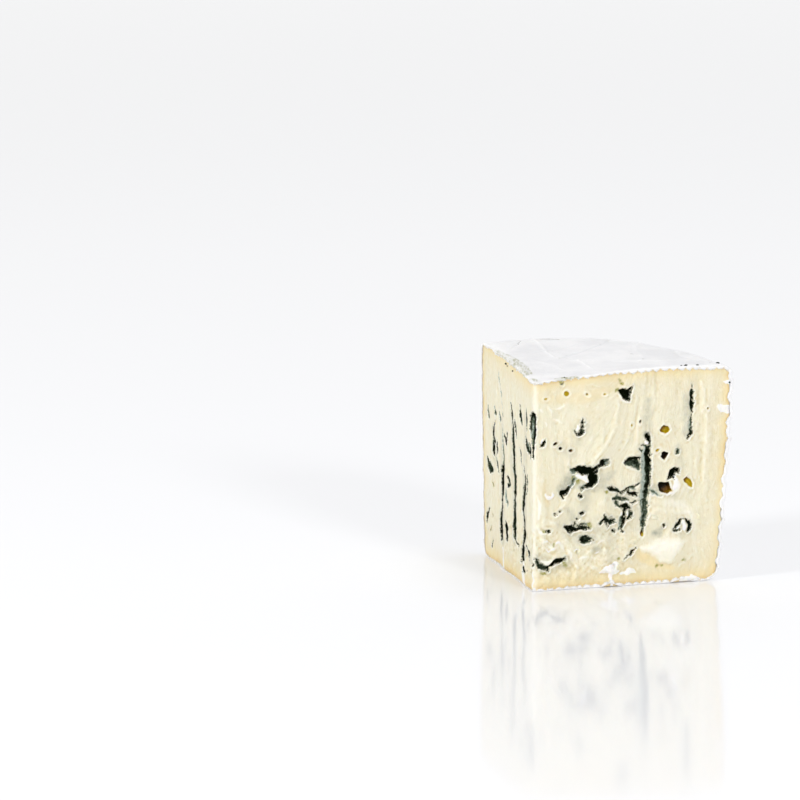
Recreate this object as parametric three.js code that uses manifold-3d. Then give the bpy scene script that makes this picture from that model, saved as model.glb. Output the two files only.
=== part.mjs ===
// A wedge of soft blue cheese, cut as nearly a quarter out of a small round cheese with a white
// mould rind. Two cut faces meet at the front edge, and rind covers the top, back and underside.
// Lengths are in millimetres. The wedge stands on its flat underside with +Z up and its front
// edge towards -Y. The origin is on the underside, below the middle of its box.
//
// Places on a cut face are given as [along, height]: the distance back from the front edge and
// the distance above the underside.

import * as THREE from "three";
import { mergeVertices } from "three/addons/utils/BufferGeometryUtils.js";
import Module from "manifold-3d";

const wasm = await Module();
wasm.setup();

// Driving sizes of the wedge.
const cutLength = 85.5; // front edge to rind along a cut face, where the cheese is widest
const openingAngle = THREE.MathUtils.degToRad(86); // between the two cut faces
const cheeseRadius = 89; // of the whole round cheese
const frontHeight = 86.6; // the middle of the cheese has sunk a little
const cornerHeight = 90.3; // at the back end of each cut face
const backHeight = 93.4; // in the middle of the back
const foldBearing = THREE.MathUtils.degToRad(8); // a pressed fold crosses the top here
const foldWidth = THREE.MathUtils.degToRad(8);
const foldDrop = 0.7; // the top is lower past the fold
const widestHeight = 72; // above this the side is upright, below it the side draws in
const sideSlope = 0.072; // radius lost per millimetre below the widest height
const frontEdgeRadius = 2.2;
const topRimRadius = 3.6; // in the middle of the back
const topRimChange = 0.35; // it is sharper by this part on the left, and rounder on the right
const underRimRadius = 5.5;

// Rind that the knife has drawn over the edges of the cut faces, with a scalloped border.
const lipHeight = 1.7;
const lipProud = 0.35;
const lipRoot = 1.5; // how far the lip is sunk into the paste
const scallopPitch = 3.4;
const scallopDepth = 0.9;

// Uneven surfaces.
const faceSwell = 0.45; // low waves left in the paste by the knife
const backSwell = 0.35; // flats left on the side by the wrapping paper
const cornerRaggedness = 0.4; // where the knife broke out through the rind

// How finely the loft is divided.
const frontSteps = 4;
const faceSteps = 14;
const backSteps = 22;
const rimSteps = 3;
const wallSteps = 9;
const topRings = 5;
const wormSides = 6;
const wormStep = 4; // length of worm between two of its rings
const fineBlobSize = 3; // blobs wider than this get smaller faces

const halfAngle = openingAngle / 2;
const edgeTangent = frontEdgeRadius / Math.tan(halfAngle);
const topCentre = new THREE.Vector2(0, 0.55 * cutLength);

// Seeded random numbers from 0 to 1, so that every build gives the same small holes.
let randomState = 20240611;
function random() {
  randomState = (Math.imul(randomState, 1664525) + 1013904223) >>> 0;
  return randomState / 4294967296;
}

function randomBetween(low, high) {
  return low + (high - low) * random();
}

// A cut face as a frame: side is 1 for the face towards +X and -1 for the one towards -X.
function cutFace(side) {
  return {
    side,
    back: new THREE.Vector3(side * Math.sin(halfAngle), Math.cos(halfAngle), 0),
    out: new THREE.Vector3(side * Math.cos(halfAngle), -Math.sin(halfAngle), 0),
  };
}

const right = cutFace(1);
const left = cutFace(-1);

function onFace(face, along, height, proud) {
  return new THREE.Vector3(0, 0, height)
    .addScaledVector(face.back, along)
    .addScaledVector(face.out, proud);
}

// Height of the top surface: low at the front edge, highest in the middle of the back.
function topHeight(x, y) {
  const reach = Math.min(1, Math.hypot(x, y) / cutLength);
  const across = x / (cutLength * Math.sin(halfAngle));
  const rise = (cornerHeight - frontHeight) * (1 - (1 - reach) ** 2.5);
  const crown = (backHeight - cornerHeight) * reach ** 2 * (1 - across ** 2);
  const pastFold = THREE.MathUtils.smoothstep(
    Math.atan2(x, y),
    foldBearing - foldWidth / 2,
    foldBearing + foldWidth / 2,
  );
  const ripple = 0.2 * reach * Math.sin(0.11 * x + 0.6) * Math.sin(0.13 * y);
  return frontHeight + rise + crown + ripple - foldDrop * pastFold * reach ** 2;
}

// Low waves on a cut face, fading out at its front and back ends.
function faceWave(face, along, height) {
  const fade = Math.min(1, along / 8) * Math.min(1, Math.max(0, cutLength - 6 - along) / 8);
  const upright = Math.sin(0.21 * along + 0.9 * face.side + 0.02 * height);
  const lumps = Math.sin(0.33 * along + 2.1) * Math.sin(0.19 * height + face.side);
  return faceSwell * fade * (0.6 * upright + 0.5 * lumps);
}

// Heights up the side of the wedge. Each has how far the side stands in from its widest there:
// all the way round by its taper and its under rim, and by its rounder or sharper top rim.
function sideLevels() {
  const levels = [];
  const addLevel = (height, underInset, topInset) => {
    const taper = sideSlope * Math.max(0, widestHeight - height);
    levels.push({ height, inset: underInset + taper, topInset });
  };
  for (let step = 0; step <= rimSteps; step++) {
    const turn = (step / rimSteps) * (Math.PI / 2);
    addLevel(underRimRadius * (1 - Math.cos(turn)), underRimRadius * (1 - Math.sin(turn)), 0);
  }
  const wallHead = cornerHeight - topRimRadius;
  for (let step = 1; step < wallSteps; step++) {
    addLevel(THREE.MathUtils.lerp(underRimRadius, wallHead, step / wallSteps), 0, 0);
  }
  for (let step = 0; step <= rimSteps; step++) {
    const turn = (step / rimSteps) * (Math.PI / 2);
    addLevel(wallHead + topRimRadius * Math.sin(turn), 0, topRimRadius * (1 - Math.cos(turn)));
  }
  return levels;
}

// How far the back end of a cut face stands out from the smooth rind, where the knife broke out.
function cornerBreak(height) {
  const nearRim = height < underRimRadius || height > cornerHeight - topRimRadius;
  const jags = Math.sin(0.55 * height) + 0.7 * Math.sin(1.27 * height + 1);
  return nearRim ? 0 : cornerRaggedness * jags;
}

// The outline of the wedge at one level, anticlockwise from the front edge, as points in space.
function outlineAt({ height, inset, topInset }) {
  const points = [];
  const addPoint = (x, y) => {
    points.push(new THREE.Vector3(x, y, (height * topHeight(x, y)) / cornerHeight));
  };
  const edgeCentreY = frontEdgeRadius / Math.sin(halfAngle);
  for (let step = 0; step <= frontSteps; step++) {
    const turn = -Math.PI / 2 + (step / frontSteps - 0.5) * (Math.PI - openingAngle);
    addPoint(frontEdgeRadius * Math.cos(turn), edgeCentreY + frontEdgeRadius * Math.sin(turn));
  }
  const rimInset = (part) => topInset * (1 + topRimChange * part);
  const addFacePoint = (face, part) => {
    const end = cutLength - inset - rimInset(face.side) + cornerBreak(height);
    const along = THREE.MathUtils.lerp(edgeTangent, end, part);
    const point = onFace(face, along, 0, faceWave(face, along, height));
    addPoint(point.x, point.y);
  };
  for (let step = 1; step <= faceSteps; step++) {
    addFacePoint(right, step / faceSteps);
  }
  const cornerAlong = cutLength - inset;
  const cornerX = cornerAlong * Math.sin(halfAngle);
  const radius = cheeseRadius - inset;
  const centreY = cornerAlong * Math.cos(halfAngle) - Math.sqrt(radius ** 2 - cornerX ** 2);
  const cornerTurn = Math.asin(cornerX / radius);
  for (let step = 1; step < backSteps; step++) {
    const part = 1 - (2 * step) / backSteps;
    const turn = cornerTurn * part;
    const flats = Math.cos(5.2 * turn + 0.5) + 0.6 * Math.cos(9.1 * turn + 2 + 0.02 * height);
    const wavyRadius = radius - rimInset(part) + backSwell * (1 - part ** 8) * (flats - 1);
    addPoint(wavyRadius * Math.sin(turn), centreY + wavyRadius * Math.cos(turn));
  }
  for (let step = faceSteps; step >= 1; step--) {
    addFacePoint(left, step / faceSteps);
  }
  return points;
}

// A closed skin over rings of equal point count, drawn together to a pole at each end. Rings
// run anticlockwise seen from the last pole.
function skinOver(rings, firstPole, lastPole) {
  const count = rings[0].length;
  const points = [firstPole, ...rings.flat(), lastPole];
  const lastIndex = points.length - 1;
  const triangles = [];
  for (let i = 0; i < count; i++) {
    const next = (i + 1) % count;
    triangles.push(0, 1 + next, 1 + i);
    for (let ring = 0; ring < rings.length - 1; ring++) {
      const low = 1 + ring * count;
      const high = low + count;
      triangles.push(low + i, low + next, high + next);
      triangles.push(low + i, high + next, high + i);
    }
    const rim = 1 + (rings.length - 1) * count;
    triangles.push(rim + i, rim + next, lastIndex);
  }
  const geometry = new THREE.BufferGeometry().setFromPoints(points);
  geometry.setIndex(triangles);
  return geometry;
}

function toSolid(geometry) {
  geometry.deleteAttribute("normal");
  geometry.deleteAttribute("uv");
  const merged = mergeVertices(geometry, 1e-4);
  const mesh = new wasm.Mesh({
    numProp: 3,
    vertProperties: new Float32Array(merged.attributes.position.array),
    triVerts: new Uint32Array(merged.index.array),
  });
  return new wasm.Manifold(mesh);
}

// The plain wedge: side walls, then rings across the top that close in to its middle.
function wedgeBody() {
  const rings = sideLevels().map(outlineAt);
  const rim = rings[rings.length - 1];
  for (let ring = 1; ring < topRings; ring++) {
    const shrink = 1 - ring / topRings;
    rings.push(rim.map((point) => {
      const x = topCentre.x + shrink * (point.x - topCentre.x);
      const y = topCentre.y + shrink * (point.y - topCentre.y);
      return new THREE.Vector3(x, y, topHeight(x, y));
    }));
  }
  const underPole = new THREE.Vector3(topCentre.x, topCentre.y, 0);
  const topPole = new THREE.Vector3(underPole.x, underPole.y, topHeight(topCentre.x, topCentre.y));
  return toSolid(skinOver(rings, underPole, topPole));
}

// A worm-like body that follows a path on a cut face. Each path point is [along, height, width].
// Taken away it leaves a needle channel or a mould-lined crack, and added it is a smear of paste.
function wormOn(face, path, depth) {
  const spine = new THREE.CatmullRomCurve3(path.map(([along, height]) => (
    new THREE.Vector3(along, height, 0)
  )));
  const widths = new THREE.CatmullRomCurve3(path.map(([, , width]) => (
    new THREE.Vector3(width, 0, 0)
  )));
  const steps = Math.max(2, Math.ceil(spine.getLength() / wormStep));
  const rings = [];
  for (let step = 0; step <= steps; step++) {
    const part = step / steps;
    const middle = spine.getPoint(part);
    const heading = spine.getTangent(part);
    const halfWidth = Math.max(0.2, widths.getPoint(part).x / 2) * randomBetween(0.85, 1.15);
    const ring = [];
    for (let corner = 0; corner < wormSides; corner++) {
      const turn = (corner / wormSides) * 2 * Math.PI;
      const across = halfWidth * Math.cos(turn);
      const proud = depth * Math.sin(turn) * (step % steps === 0 ? 0.5 : 1);
      const along = middle.x - heading.y * across;
      const height = middle.y + heading.x * across;
      ring.push(onFace(face, along, height, proud + faceWave(face, along, height)));
    }
    rings.push(face.side < 0 ? ring.reverse() : ring);
  }
  const pole = (part, overshoot) => {
    const middle = spine.getPoint(part).addScaledVector(spine.getTangent(part), overshoot);
    return onFace(face, middle.x, middle.y, 0);
  };
  return toSolid(skinOver(rings, pole(0, -0.5), pole(1, 0.5)));
}

// A lumpy ball pressed into a cut face. Taken away it leaves a hole with a broken edge.
function blobOn(face, along, height, width, tall, depth, lumpiness = 0.18) {
  const ball = new THREE.IcosahedronGeometry(1, width > fineBlobSize ? 1 : 0);
  ball.deleteAttribute("normal");
  ball.deleteAttribute("uv");
  const merged = mergeVertices(ball, 1e-4);
  const places = merged.attributes.position;
  for (let i = 0; i < places.count; i++) {
    const lump = randomBetween(1 - lumpiness, 1 + lumpiness);
    const place = onFace(
      face,
      along + places.getX(i) * lump * width / 2,
      height + places.getY(i) * lump * tall / 2,
      places.getZ(i) * lump * depth,
    );
    places.setXYZ(i, place.x, place.y, place.z);
  }
  if (face.side < 0) {
    merged.setIndex(Array.from(merged.index.array).reverse());
  }
  return toSolid(merged);
}

// Rind drawn over one edge of a cut face. edgeHeight gives the edge's height at a distance
// along it, and towards is -1 where the lip hangs down and 1 where it stands up.
function rindLip(face, from, to, edgeHeight, towards) {
  const rings = [];
  const stations = Math.round((2 * (to - from)) / scallopPitch);
  for (let station = 0; station <= stations; station++) {
    const along = THREE.MathUtils.lerp(from, to, station / stations);
    const isTip = station % 2 === 1;
    const uneven = randomBetween(-0.25, 0.25);
    const reach = lipHeight + uneven - (isTip ? 0 : scallopDepth);
    const edge = edgeHeight(along);
    const border = edge + towards * reach;
    const wave = faceWave(face, along, edge);
    const ring = [
      onFace(face, along, edge, wave - lipRoot),
      onFace(face, along, edge, wave + lipProud / 2),
      onFace(face, along, border, wave + lipProud),
      onFace(face, along, border, wave - lipRoot),
    ];
    rings.push(face.side * towards > 0 ? ring.reverse() : ring);
  }
  const middleOf = (ring) => (
    ring.reduce((sum, point) => sum.add(point), new THREE.Vector3()).divideScalar(ring.length)
  );
  return toSolid(skinOver(rings, middleOf(rings[0]), middleOf(rings[rings.length - 1])));
}

// Both edges of both cut faces carry a lip. It stops short of the rounded front edge and of the
// rounded rims at the back.
function allLips() {
  const lipInset = 0.25; // keeps a lip just inside the rind it hangs from
  const lipStart = edgeTangent + 0.8;
  const lipEnd = cutLength - topRimRadius * (1 + topRimChange) - 1.5;
  const underEnd = cutLength - sideSlope * widestHeight - underRimRadius - 1;
  return [right, left].flatMap((face) => {
    const topEdge = (along) => {
      const place = onFace(face, along, 0, 0);
      return topHeight(place.x, place.y) - lipInset;
    };
    return [
      rindLip(face, lipStart, lipEnd, topEdge, -1),
      rindLip(face, lipStart, underEnd, () => lipInset, 1),
    ];
  });
}

// Holes left by the piercing needles, where the cut has opened them. Width is the third number.
function needleChannels() {
  return [
    wormOn(right, [[49.0, 62.5, 1.4], [49.2, 55, 3.4], [48.8, 43, 3.8], [47.7, 22, 1.4]], 2.1),
    wormOn(right, [[68.4, 82.8, 0.9], [68.6, 73, 1.9], [68.1, 66, 1.1], [67.2, 60.3, 1.7]], 1.1),
    wormOn(right, [[1.3, 73.8, 2.8], [1.3, 65, 2.2], [1.3, 55, 0.8]], 2.0),
    wormOn(left, [[53, 66, 0.8], [50.5, 48, 2.0], [50, 30, 3.4], [48.8, 10, 1.4]], 1.6),
    wormOn(left, [[36, 72, 1.0], [33, 56, 2.6], [30.5, 34, 2.8], [29.8, 17, 1.4]], 1.6),
    wormOn(left, [[13.2, 48, 1.0], [14.2, 40, 3.0], [14.0, 28, 2.6], [13.2, 11, 1.6]], 1.6),
    wormOn(left, [[48.3, 8.5, 1.0], [46.8, 2.2, 1.2]], 0.8),
    wormOn(left, [[12.0, 7.0, 1.0], [11.2, 2.2, 1.2]], 0.8),
  ];
}

// Cracks and openings in which the blue mould has grown.
function mouldOpenings() {
  return [
    wormOn(right, [[29.4, 51.6, 1.8], [26.2, 50, 3.2], [22.6, 48.3, 4.6], [17.5, 49.4, 1.8]], 2.0),
    wormOn(right, [[24.6, 48.0, 4.6], [25.4, 43.2, 2.6]], 1.9),
    wormOn(right, [[19.0, 44.6, 1.6], [15.5, 42.2, 2.2], [12.8, 40.0, 2.4]], 1.4),
    wormOn(right, [[34.4, 41.2, 1.2], [39.6, 39.2, 1.5], [43.6, 39.6, 2.6], [46, 42.2, 1.0]], 1.1),
    wormOn(right, [[36, 34.6, 1.6], [39.4, 35.2, 3.0], [40, 31, 4.2], [38, 24.8, 1.4]], 1.6),
    wormOn(right, [[29.2, 27.2, 1.5], [31.8, 28.6, 2.2], [34.6, 27.7, 1.7]], 1.1),
    wormOn(right, [[15.6, 25.8, 3.0], [19.8, 25.1, 2.0], [23.6, 25.3, 1.5]], 1.3),
    wormOn(right, [[21.6, 69.8, 1.2], [20.2, 66.4, 1.9], [18.2, 65.8, 1.2]], 0.9),
    wormOn(right, [[43.9, 14.8, 1.3], [40.6, 11.9, 0.8]], 0.8),
    wormOn(right, [[3.2, 12.6, 2.4], [6.4, 10.4, 2.0], [10, 12.0, 1.8], [13, 13.0, 1.3]], 1.2),
    wormOn(left, [[64, 54.5, 1.4], [60.5, 50.5, 2.2], [64, 45.5, 1.4]], 1.1),
    wormOn(left, [[40, 41, 1.6], [38.4, 38.4, 2.4], [41.8, 32.5, 1.2]], 1.1),
    blobOn(right, 40.2, 81.2, 5.6, 5.2, 2.2),
    blobOn(right, 30.4, 52.2, 3.4, 3.4, 2.0),
    blobOn(right, 43.2, 51.2, 5.4, 5.0, 2.0),
    blobOn(right, 22.3, 20.9, 5.0, 3.0, 1.4),
    blobOn(right, 64.4, 24.2, 4.8, 4.0, 0.8),
    blobOn(left, 71.0, 39.5, 4.0, 4.6, 1.5),
    blobOn(left, 9.6, 61.0, 4.0, 4.4, 1.4),
    blobOn(left, 3.8, 57.0, 2.6, 4.0, 1.2),
    blobOn(left, 44.2, 57.0, 3.0, 3.2, 1.2),
    blobOn(left, 21.0, 68.0, 2.6, 3.6, 1.0),
    blobOn(left, 42.5, 17.8, 2.8, 4.2, 1.3),
  ];
}

// Round gas holes with bare walls.
function gasHoles() {
  return [
    blobOn(right, 14.3, 81.4, 2.2, 2.2, 1.3),
    blobOn(right, 56.9, 64.4, 4.0, 2.8, 1.8),
    blobOn(right, 57.9, 53.6, 2.6, 2.8, 1.6),
    blobOn(right, 58.6, 40.2, 5.4, 4.8, 2.6),
    blobOn(right, 61.6, 46.0, 4.0, 3.2, 1.6),
    blobOn(right, 68.1, 42.1, 3.0, 3.8, 1.8),
  ];
}

// Small openings at random places, clear of the ends of the faces.
function smallOpenings() {
  const openings = [];
  for (const face of [right, left]) {
    for (let hole = 0; hole < 7; hole++) {
      const along = randomBetween(8, cutLength - 14);
      const height = randomBetween(14, frontHeight - 16);
      const size = randomBetween(1.1, 1.9);
      openings.push(blobOn(face, along, height, size, size * randomBetween(0.8, 1.6), 0.8));
    }
  }
  return openings;
}

// Places where the under rim doesn't reach the surface it stands on.
function underGaps() {
  return [
    blobOn(right, 34.6, 0.0, 6.0, 3.0, 3.0),
    blobOn(right, 65.0, 0.0, 6.5, 3.4, 3.0),
  ];
}

// Paste that the knife has dragged over the faces and left standing.
function smears() {
  return [
    blobOn(right, 57.6, 13.6, 21.0, 9.5, 1.3, 0.06),
    wormOn(right, [[35.5, 70.0, 1.6], [31.5, 62.0, 2.4], [26.0, 54.6, 1.4]], 0.6),
    wormOn(right, [[73.2, 74.0, 2.0], [74.2, 52.0, 3.2], [73.4, 30.0, 2.2]], 0.6),
    wormOn(right, [[4.6, 56.0, 1.8], [5.2, 44.0, 2.4], [5.6, 30.0, 2.0]], 0.5),
    blobOn(right, 21.4, 45.6, 5.0, 2.6, 0.8),
    blobOn(right, 64.0, 42.6, 3.4, 4.0, 0.9),
    blobOn(left, 24.0, 30.0, 5.0, 26.0, 0.6, 0.06),
  ];
}

// White mould that has grown out of the needle holes and cracks near the rind.
function whiteTufts() {
  return [
    blobOn(right, 34.2, 7.0, 7.0, 2.6, 0.7),
    wormOn(right, [[34.4, 8.2, 2.0], [34.6, 2.4, 1.4]], 0.6),
    blobOn(right, 42.0, 6.2, 4.4, 2.0, 0.6),
    blobOn(right, 71.5, 3.0, 8.0, 3.0, 0.8),
  ];
}

function cheeseWedge() {
  let wedge = wedgeBody();
  for (const lip of allLips()) {
    wedge = wedge.add(lip);
  }
  for (const smear of [...smears(), ...whiteTufts()]) {
    wedge = wedge.add(smear);
  }
  const hollows = [
    ...needleChannels(),
    ...mouldOpenings(),
    ...gasHoles(),
    ...smallOpenings(),
    ...underGaps(),
  ];
  for (const hollow of hollows) {
    wedge = wedge.subtract(hollow);
  }
  const { vertProperties, triVerts } = wedge.getMesh();
  const geometry = new THREE.BufferGeometry();
  geometry.setAttribute("position", new THREE.BufferAttribute(vertProperties, 3));
  geometry.setIndex(new THREE.BufferAttribute(triVerts, 1));
  geometry.computeBoundingBox();
  const middle = geometry.boundingBox.getCenter(new THREE.Vector3());
  geometry.translate(-middle.x, -middle.y, -geometry.boundingBox.min.z);
  geometry.computeVertexNormals();
  const paste = new THREE.MeshStandardMaterial({ color: 0xefe9d3, roughness: 0.5, metalness: 0 });
  const mesh = new THREE.Mesh(geometry, paste);
  mesh.name = "cheese_wedge";
  return mesh;
}

const part = new THREE.Group();
part.add(cheeseWedge());

export default part;
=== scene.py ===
import math
import bpy
import numpy as np
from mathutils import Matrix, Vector


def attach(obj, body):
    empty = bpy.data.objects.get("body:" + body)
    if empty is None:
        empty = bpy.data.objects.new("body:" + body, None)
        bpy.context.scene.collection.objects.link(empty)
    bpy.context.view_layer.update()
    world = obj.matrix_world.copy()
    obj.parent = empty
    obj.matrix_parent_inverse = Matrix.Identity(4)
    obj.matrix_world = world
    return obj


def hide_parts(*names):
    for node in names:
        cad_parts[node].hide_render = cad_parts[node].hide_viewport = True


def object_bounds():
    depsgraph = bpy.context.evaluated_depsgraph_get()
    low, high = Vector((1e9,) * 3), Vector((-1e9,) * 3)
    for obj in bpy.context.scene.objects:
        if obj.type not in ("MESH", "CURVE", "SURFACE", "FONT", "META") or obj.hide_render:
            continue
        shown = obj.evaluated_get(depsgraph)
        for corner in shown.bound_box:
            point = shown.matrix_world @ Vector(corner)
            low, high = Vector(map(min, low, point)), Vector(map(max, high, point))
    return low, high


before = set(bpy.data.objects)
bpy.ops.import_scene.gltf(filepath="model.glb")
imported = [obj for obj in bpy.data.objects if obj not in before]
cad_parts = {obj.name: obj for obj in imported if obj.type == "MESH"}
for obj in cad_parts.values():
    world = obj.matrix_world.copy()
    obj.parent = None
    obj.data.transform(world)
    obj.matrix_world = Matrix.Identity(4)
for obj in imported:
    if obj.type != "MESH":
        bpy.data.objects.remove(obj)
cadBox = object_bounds()
mm = 0.001
print("frame loaded")

# The wedge as it was cut, in millimetres and degrees. The point where the planes of the two
# cut faces meet is the origin of the working sums, and +y runs back to the rind.
wedge = {
    "cutLength": 85.5,
    "opening": 86,
    "cheeseRadius": 89,
    "frontHeight": 86.6,
    "cornerHeight": 90.3,
    "backHeight": 93.4,
    "foldBearing": 8,
    "foldWidth": 8,
    "foldDrop": 0.7,
    "widestHeight": 72,
    "sideSlope": 0.072,
    "frontEdgeRadius": 2.2,
    "topRimRadius": 3.6,
    "topRimChange": 0.35,
    "underRimRadius": 5.5,
    "faceSwell": 0.45,
    "backSwell": 0.35,
    "cornerRaggedness": 0.4,
}
halfAngle = math.radians(wedge["opening"]) / 2
faceSin, faceCos = math.sin(halfAngle), math.cos(halfAngle)
edgeRadius = wedge["frontEdgeRadius"]
edgeTangent = edgeRadius / math.tan(halfAngle)  # where a cut face leaves the rounded front edge
apexY = cadBox[0].y / mm - edgeRadius * (1 / faceSin - 1)
wallHead = wedge["cornerHeight"] - wedge["topRimRadius"]
outOfReach = 9.0  # stands for any distance too long to matter
hillCount = 128  # random hills in a row before they repeat


# From 0 at low to 1 at high, with a soft start and end
def ease(value, low, high):
    part = np.clip((value - low) / (high - low), 0, 1)
    return part * part * (3 - 2 * part)


# Smooth random hills from -1 to 1, about as wide as size. Each seed gives other hills.
def hills(x, y, size, seed):
    heights = np.random.default_rng(seed).uniform(-1, 1, (hillCount, hillCount))
    x, y = np.asarray(x) / size, np.asarray(y) / size
    left, low = np.floor(x).astype(int), np.floor(y).astype(int)
    right, high = ease(x - left, 0, 1), ease(y - low, 0, 1)

    def corner(i, j):
        return heights[(left + i) % hillCount, (low + j) % hillCount]

    near = corner(0, 0) * (1 - right) + corner(1, 0) * right
    far = corner(0, 1) * (1 - right) + corner(1, 1) * right
    return near * (1 - high) + far * high


# Height of the top: low at the front edge, highest in the middle of the back, with one fold
def topHeight(x, y):
    reach = np.minimum(1, np.hypot(x, y) / wedge["cutLength"])
    across = x / (wedge["cutLength"] * faceSin)
    rise = (wedge["cornerHeight"] - wedge["frontHeight"]) * (1 - (1 - reach) ** 2.5)
    crown = (wedge["backHeight"] - wedge["cornerHeight"]) * reach ** 2 * (1 - across ** 2)
    bearing = np.degrees(np.arctan2(x, y))
    halfFold = wedge["foldWidth"] / 2
    pastFold = ease(bearing, wedge["foldBearing"] - halfFold, wedge["foldBearing"] + halfFold)
    ripple = 0.2 * reach * np.sin(0.11 * x + 0.6) * np.sin(0.13 * y)
    return wedge["frontHeight"] + rise + crown + ripple - wedge["foldDrop"] * pastFold * reach ** 2


# Low waves that the knife left on a cut face, dying away towards its ends
def faceWave(side, along, height):
    ends = np.clip((along - edgeTangent) / 8, 0, 1)
    ends = ends * np.clip((wedge["cutLength"] - 6 - along) / 8, 0, 1)
    upright = np.sin(0.21 * along + 0.9 * side + 0.02 * height)
    lumps = np.sin(0.33 * along + 2.1) * np.sin(0.19 * height + side)
    return wedge["faceSwell"] * ends * (0.6 * upright + 0.5 * lumps)


# A point of the cut surface. place is the distance back from the front edge, above 0 on the
# right face and below 0 on the left one, and proud is how far the point stands out.
def cutPoint(place, height, proud):
    side, along = np.sign(place), np.abs(place)
    out = proud + faceWave(side, along, height)
    turn = place / edgeTangent * (math.pi / 2 - halfAngle)
    onEdge = along < edgeTangent
    x = np.where(onEdge, (edgeRadius + proud) * np.sin(turn), side * (along * faceSin + out * faceCos))
    edgeY = edgeRadius / faceSin - (edgeRadius + proud) * np.cos(turn)
    y = np.where(onEdge, edgeY, along * faceCos - out * faceSin)
    return x, y


# How far the side stands in from its widest at a height, without the top rim
def sideInset(height):
    rim = wedge["underRimRadius"]
    low = np.clip(1 - height / rim, 0, 1)
    taper = wedge["sideSlope"] * np.maximum(0, wedge["widestHeight"] - height)
    return taper + rim * (1 - np.sqrt(1 - low ** 2))


# The same for the top rim alone, which is rounder towards the right corner
def topRimInset(height, part):
    rim = wedge["topRimRadius"]
    high = np.clip((height - wallHead) / rim, 0, 1)
    return rim * (1 - np.sqrt(1 - high ** 2)) * (1 + wedge["topRimChange"] * part)


# Where a cut face ends at the rind, ragged where the knife broke out
def faceEnd(side, height):
    nearRim = (height < wedge["underRimRadius"]) | (height > wallHead)
    jags = np.sin(0.55 * height) + 0.7 * np.sin(1.27 * height + 1)
    jags = jags * wedge["cornerRaggedness"] * np.where(nearRim, 0, 1)
    return wedge["cutLength"] - sideInset(height) - topRimInset(height, side) + jags


# A point of the rind's round side. part runs from -1 at the left corner to 1 at the right.
def backPoint(part, height, sunk):
    inset = sideInset(height)
    cornerAlong = wedge["cutLength"] - inset
    cornerX = cornerAlong * faceSin
    radius = wedge["cheeseRadius"] - inset
    centreY = cornerAlong * faceCos - np.sqrt(radius ** 2 - cornerX ** 2)
    turn = np.arcsin(cornerX / radius) * part
    flats = np.cos(5.2 * turn + 0.5) + 0.6 * np.cos(9.1 * turn + 2 + 0.02 * height)
    radius = radius - topRimInset(height, part) - sunk
    radius = radius + wedge["backSwell"] * (1 - part ** 8) * (flats - 1)
    return radius * np.sin(turn), centreY + radius * np.cos(turn)


# How far along the straight stretch between two points each place lies, from 0 to 1, and how
# far away from it
def besideStretch(x, y, start, end):
    spanX, spanY = end[0] - start[0], end[1] - start[1]
    part = ((x - start[0]) * spanX + (y - start[1]) * spanY) / (spanX ** 2 + spanY ** 2)
    part = np.clip(part, 0, 1)
    return part, np.hypot(x - start[0] - part * spanX, y - start[1] - part * spanY)


# Distance from each place to a ribbon through [x, y, width] points, below 0 inside it. The
# ribbon follows a smooth curve through its points.
def ribbonDistance(x, y, path):
    path = np.array(path, float)
    if len(path) > 2:
        ends = np.vstack([2 * path[0] - path[1], path, 2 * path[-1] - path[-2]])
        part = np.linspace(0, 1, 4, endpoint=False)[:, None]
        bends = []
        for a, b, c, d in zip(ends, ends[1:], ends[2:], ends[3:]):
            bends.append(0.5 * (2 * b + (c - a) * part + (2 * a - 5 * b + 4 * c - d) * part ** 2
                                + (3 * b - a - 3 * c + d) * part ** 3))
        path = np.vstack([*bends, path[-1:]])
    margin = 7  # no mark shows further away than this
    nearest = np.full(np.shape(x), outOfReach)
    low, high = path.min(axis=0) - margin, path.max(axis=0) + margin
    close = (x > low[0]) & (x < high[0]) & (y > low[1]) & (y < high[1])
    found = nearest[close]
    for start, end in zip(path, path[1:]):
        part, gap = besideStretch(x[close], y[close], start, end)
        found = np.minimum(found, gap - (start[2] + part * (end[2] - start[2])) / 2)
    nearest[close] = found
    return nearest


# The same for an oval, turned by lean degrees
def ovalDistance(x, y, middle, tall, wide, lean=0):
    across, up = x - middle[0], y - middle[1]
    tip = math.radians(lean)
    across, up = (across * math.cos(tip) + up * math.sin(tip),
                  up * math.cos(tip) - across * math.sin(tip))
    return (np.hypot(across / wide * 2, up / tall * 2) - 1) * min(wide, tall) / 2


# The same for a patch with straight sides, given by its corners in order
def patchDistance(x, y, corners):
    nearest = np.full(np.shape(x), outOfReach)
    within = np.zeros(np.shape(x), bool)
    for start, end in zip(corners, corners[1:] + corners[:1]):
        nearest = np.minimum(nearest, besideStretch(x, y, start, end)[1])
        spanX, spanY = end[0] - start[0], end[1] - start[1]
        if spanY:
            onLeft = x < start[0] + (y - start[1]) * spanX / spanY
            within ^= onLeft & ((y > start[1]) != (y > end[1]))
    return np.where(within, -nearest, nearest)


# How strong the strongest of some marks is at each place. Each mark has a strength and a path,
# and fades over some way outside its edge and inside it.
def strongest(x, y, marks, outside, inside):
    found = np.zeros(np.shape(x))
    for strength, path in marks:
        found = np.maximum(found, strength * ease(-ribbonDistance(x, y, path), -outside, inside))
    return found


def addObject(name, data):
    piece = bpy.data.objects.new(name, data)
    bpy.context.collection.objects.link(piece)
    return piece


def addValue(mesh, name, numbers):
    layer = mesh.attributes.new(name, "FLOAT", "POINT")
    layer.data.foreach_set("value", np.asarray(numbers, np.float32))


# Points of the working sums, in metres and in the shared frame
def inFrame(points):
    return ((np.asarray(points, float) + (0, apexY, 0)) * mm).tolist()


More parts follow.
